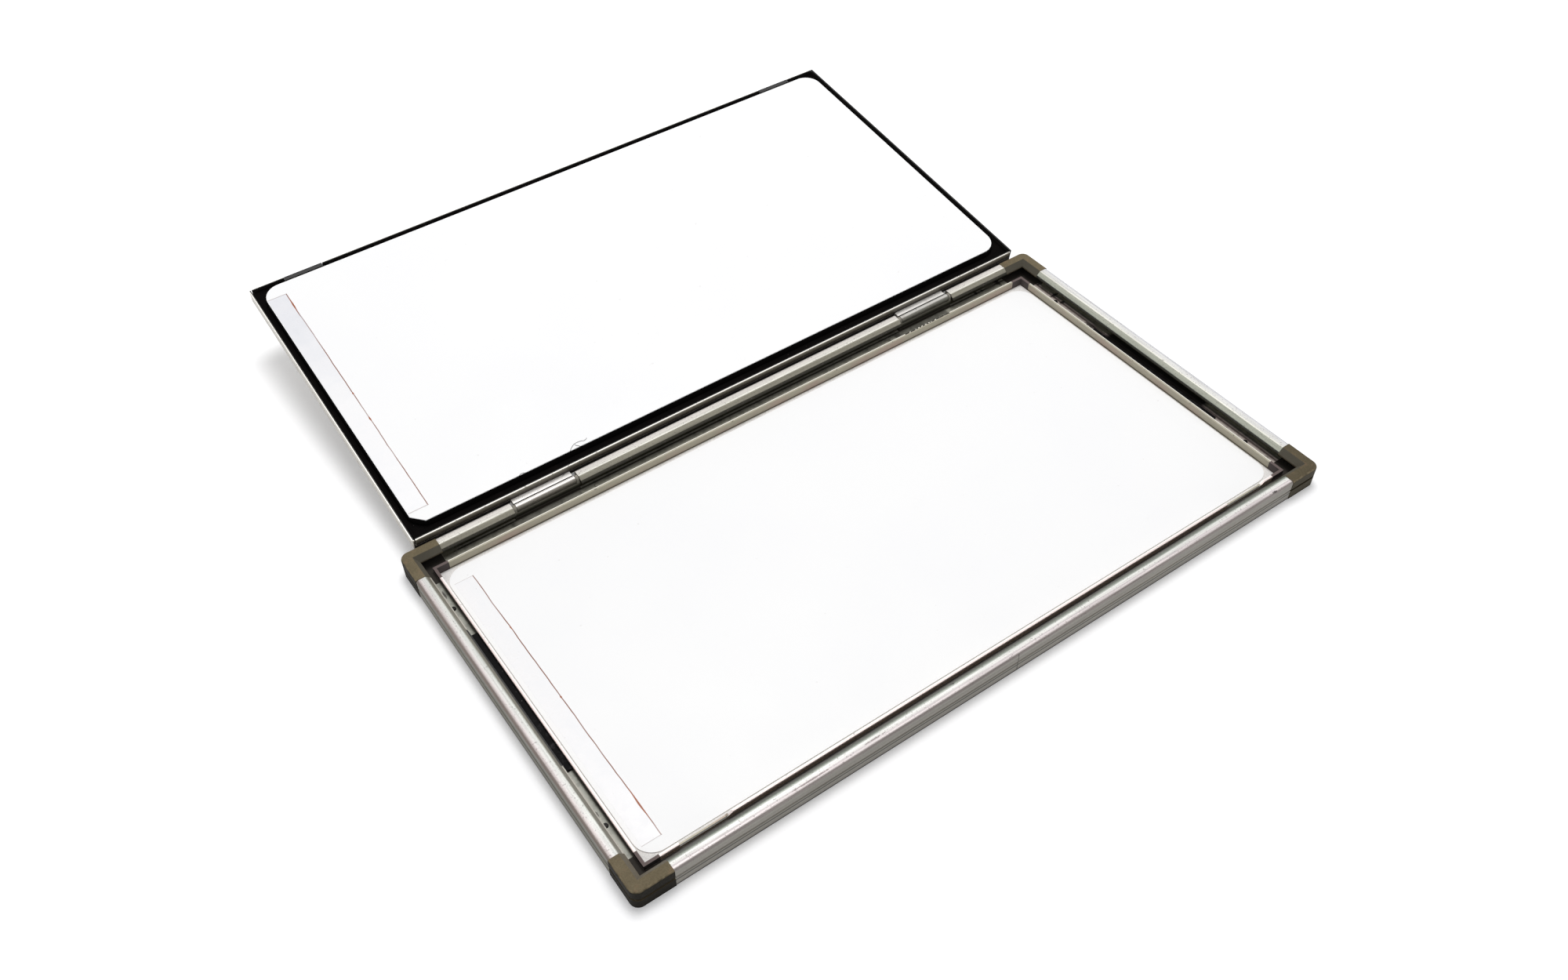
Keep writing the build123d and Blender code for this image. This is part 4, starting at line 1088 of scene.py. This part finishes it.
# The camera was solved from the photo's straight edges. Its turn is in degrees, its lens in millimetres.
CAMERA_PLACE = (-0.24653497, -0.29386472, 0.42771401)
CAMERA_TURN = (43.55640421, 1.65291775, -34.47533799)
LENS = 32.4979
SENSOR_WIDTH = 36.0
LENS_SHIFT = (0.02514, -0.00399)


def seen_ray(nodes, links):
    """A socket that is 1 for the rays of the camera, of mirrors and of glass, and 0 for light."""
    rays = nodes.new("ShaderNodeLightPath").outputs
    seen = rays["Is Camera Ray"]
    for kind in ("Is Glossy Ray", "Is Transmission Ray"):
        either = nodes.new("ShaderNodeMath")
        either.operation = "MAXIMUM"
        links.new(seen, either.inputs[0])
        links.new(rays[kind], either.inputs[1])
        seen = either.outputs[0]
    return seen


def floor_material():
    """Matte white that keeps shadows, with a glow for seen rays alone."""
    ground = bpy.data.materials.new("floor")
    ground.use_nodes = True
    nodes, links = ground.node_tree.nodes, ground.node_tree.links
    nodes.clear()
    output = nodes.new("ShaderNodeOutputMaterial")
    matte = nodes.new("ShaderNodeBsdfDiffuse")
    matte.inputs["Color"].default_value = (*FLOOR_TONE, 1)
    glow = nodes.new("ShaderNodeEmission")
    where = nodes.new("ShaderNodeTexCoord")
    distance = nodes.new("ShaderNodeVectorMath")
    distance.operation = "LENGTH"
    spread = nodes.new("ShaderNodeMapRange")
    for socket, number in zip(spread.inputs[1:], (*FLOOR_FADE, *FLOOR_GLOW)):
        socket.default_value = number
    share = nodes.new("ShaderNodeMath")
    share.operation = "MULTIPLY"
    both = nodes.new("ShaderNodeAddShader")
    for source, target in (
        (where.outputs["Object"], distance.inputs[0]), (distance.outputs["Value"], spread.inputs[0]),
        (seen_ray(nodes, links), share.inputs[0]), (spread.outputs[0], share.inputs[1]),
        (share.outputs[0], glow.inputs["Strength"]), (matte.outputs[0], both.inputs[0]),
        (glow.outputs[0], both.inputs[1]), (both.outputs[0], output.inputs["Surface"]),
    ):
        links.new(source, target)
    return ground


def studio_world():
    """Soft light from all round, and plain white for seen rays."""
    world = bpy.data.worlds.new("studio")
    world.use_nodes = True
    nodes, links = world.node_tree.nodes, world.node_tree.links
    nodes.clear()
    output = nodes.new("ShaderNodeOutputWorld")
    blend = nodes.new("ShaderNodeMixShader")
    links.new(seen_ray(nodes, links), blend.inputs[0])
    for index, strength in ((1, SKY_LIGHT), (2, SKY_SEEN)):
        sky = nodes.new("ShaderNodeBackground")
        sky.inputs["Color"].default_value = (1, 1, 1, 1)
        sky.inputs["Strength"].default_value = strength
        links.new(sky.outputs[0], blend.inputs[index])
    links.new(blend.outputs[0], output.inputs["Surface"])
    return world


bpy.ops.mesh.primitive_plane_add(size=FLOOR_SIZE, location=(0, 0, 0))
floor = bpy.context.object
floor.name = "floor"
floor.data.materials.append(floor_material())
bpy.context.scene.world = studio_world()

light = bpy.data.lights.new("key", "AREA")
light.size = LAMP_SIZE
light.energy = LAMP_POWER
lamp = add_object("key", light)
lamp.location = LAMP_PLACE
lamp.rotation_euler = (Vector(LAMP_AIM) - Vector(LAMP_PLACE)).to_track_quat("-Z", "Y").to_euler()

lens = bpy.data.cameras.new("camera")
lens.lens = LENS
lens.sensor_width = SENSOR_WIDTH
lens.sensor_fit = "HORIZONTAL"
lens.shift_x, lens.shift_y = LENS_SHIFT
camera = add_object("camera", lens)
camera.location = CAMERA_PLACE
camera.rotation_euler = [math.radians(angle) for angle in CAMERA_TURN]
bpy.context.scene.camera = camera
bpy.context.scene.view_settings.view_transform = "Standard"
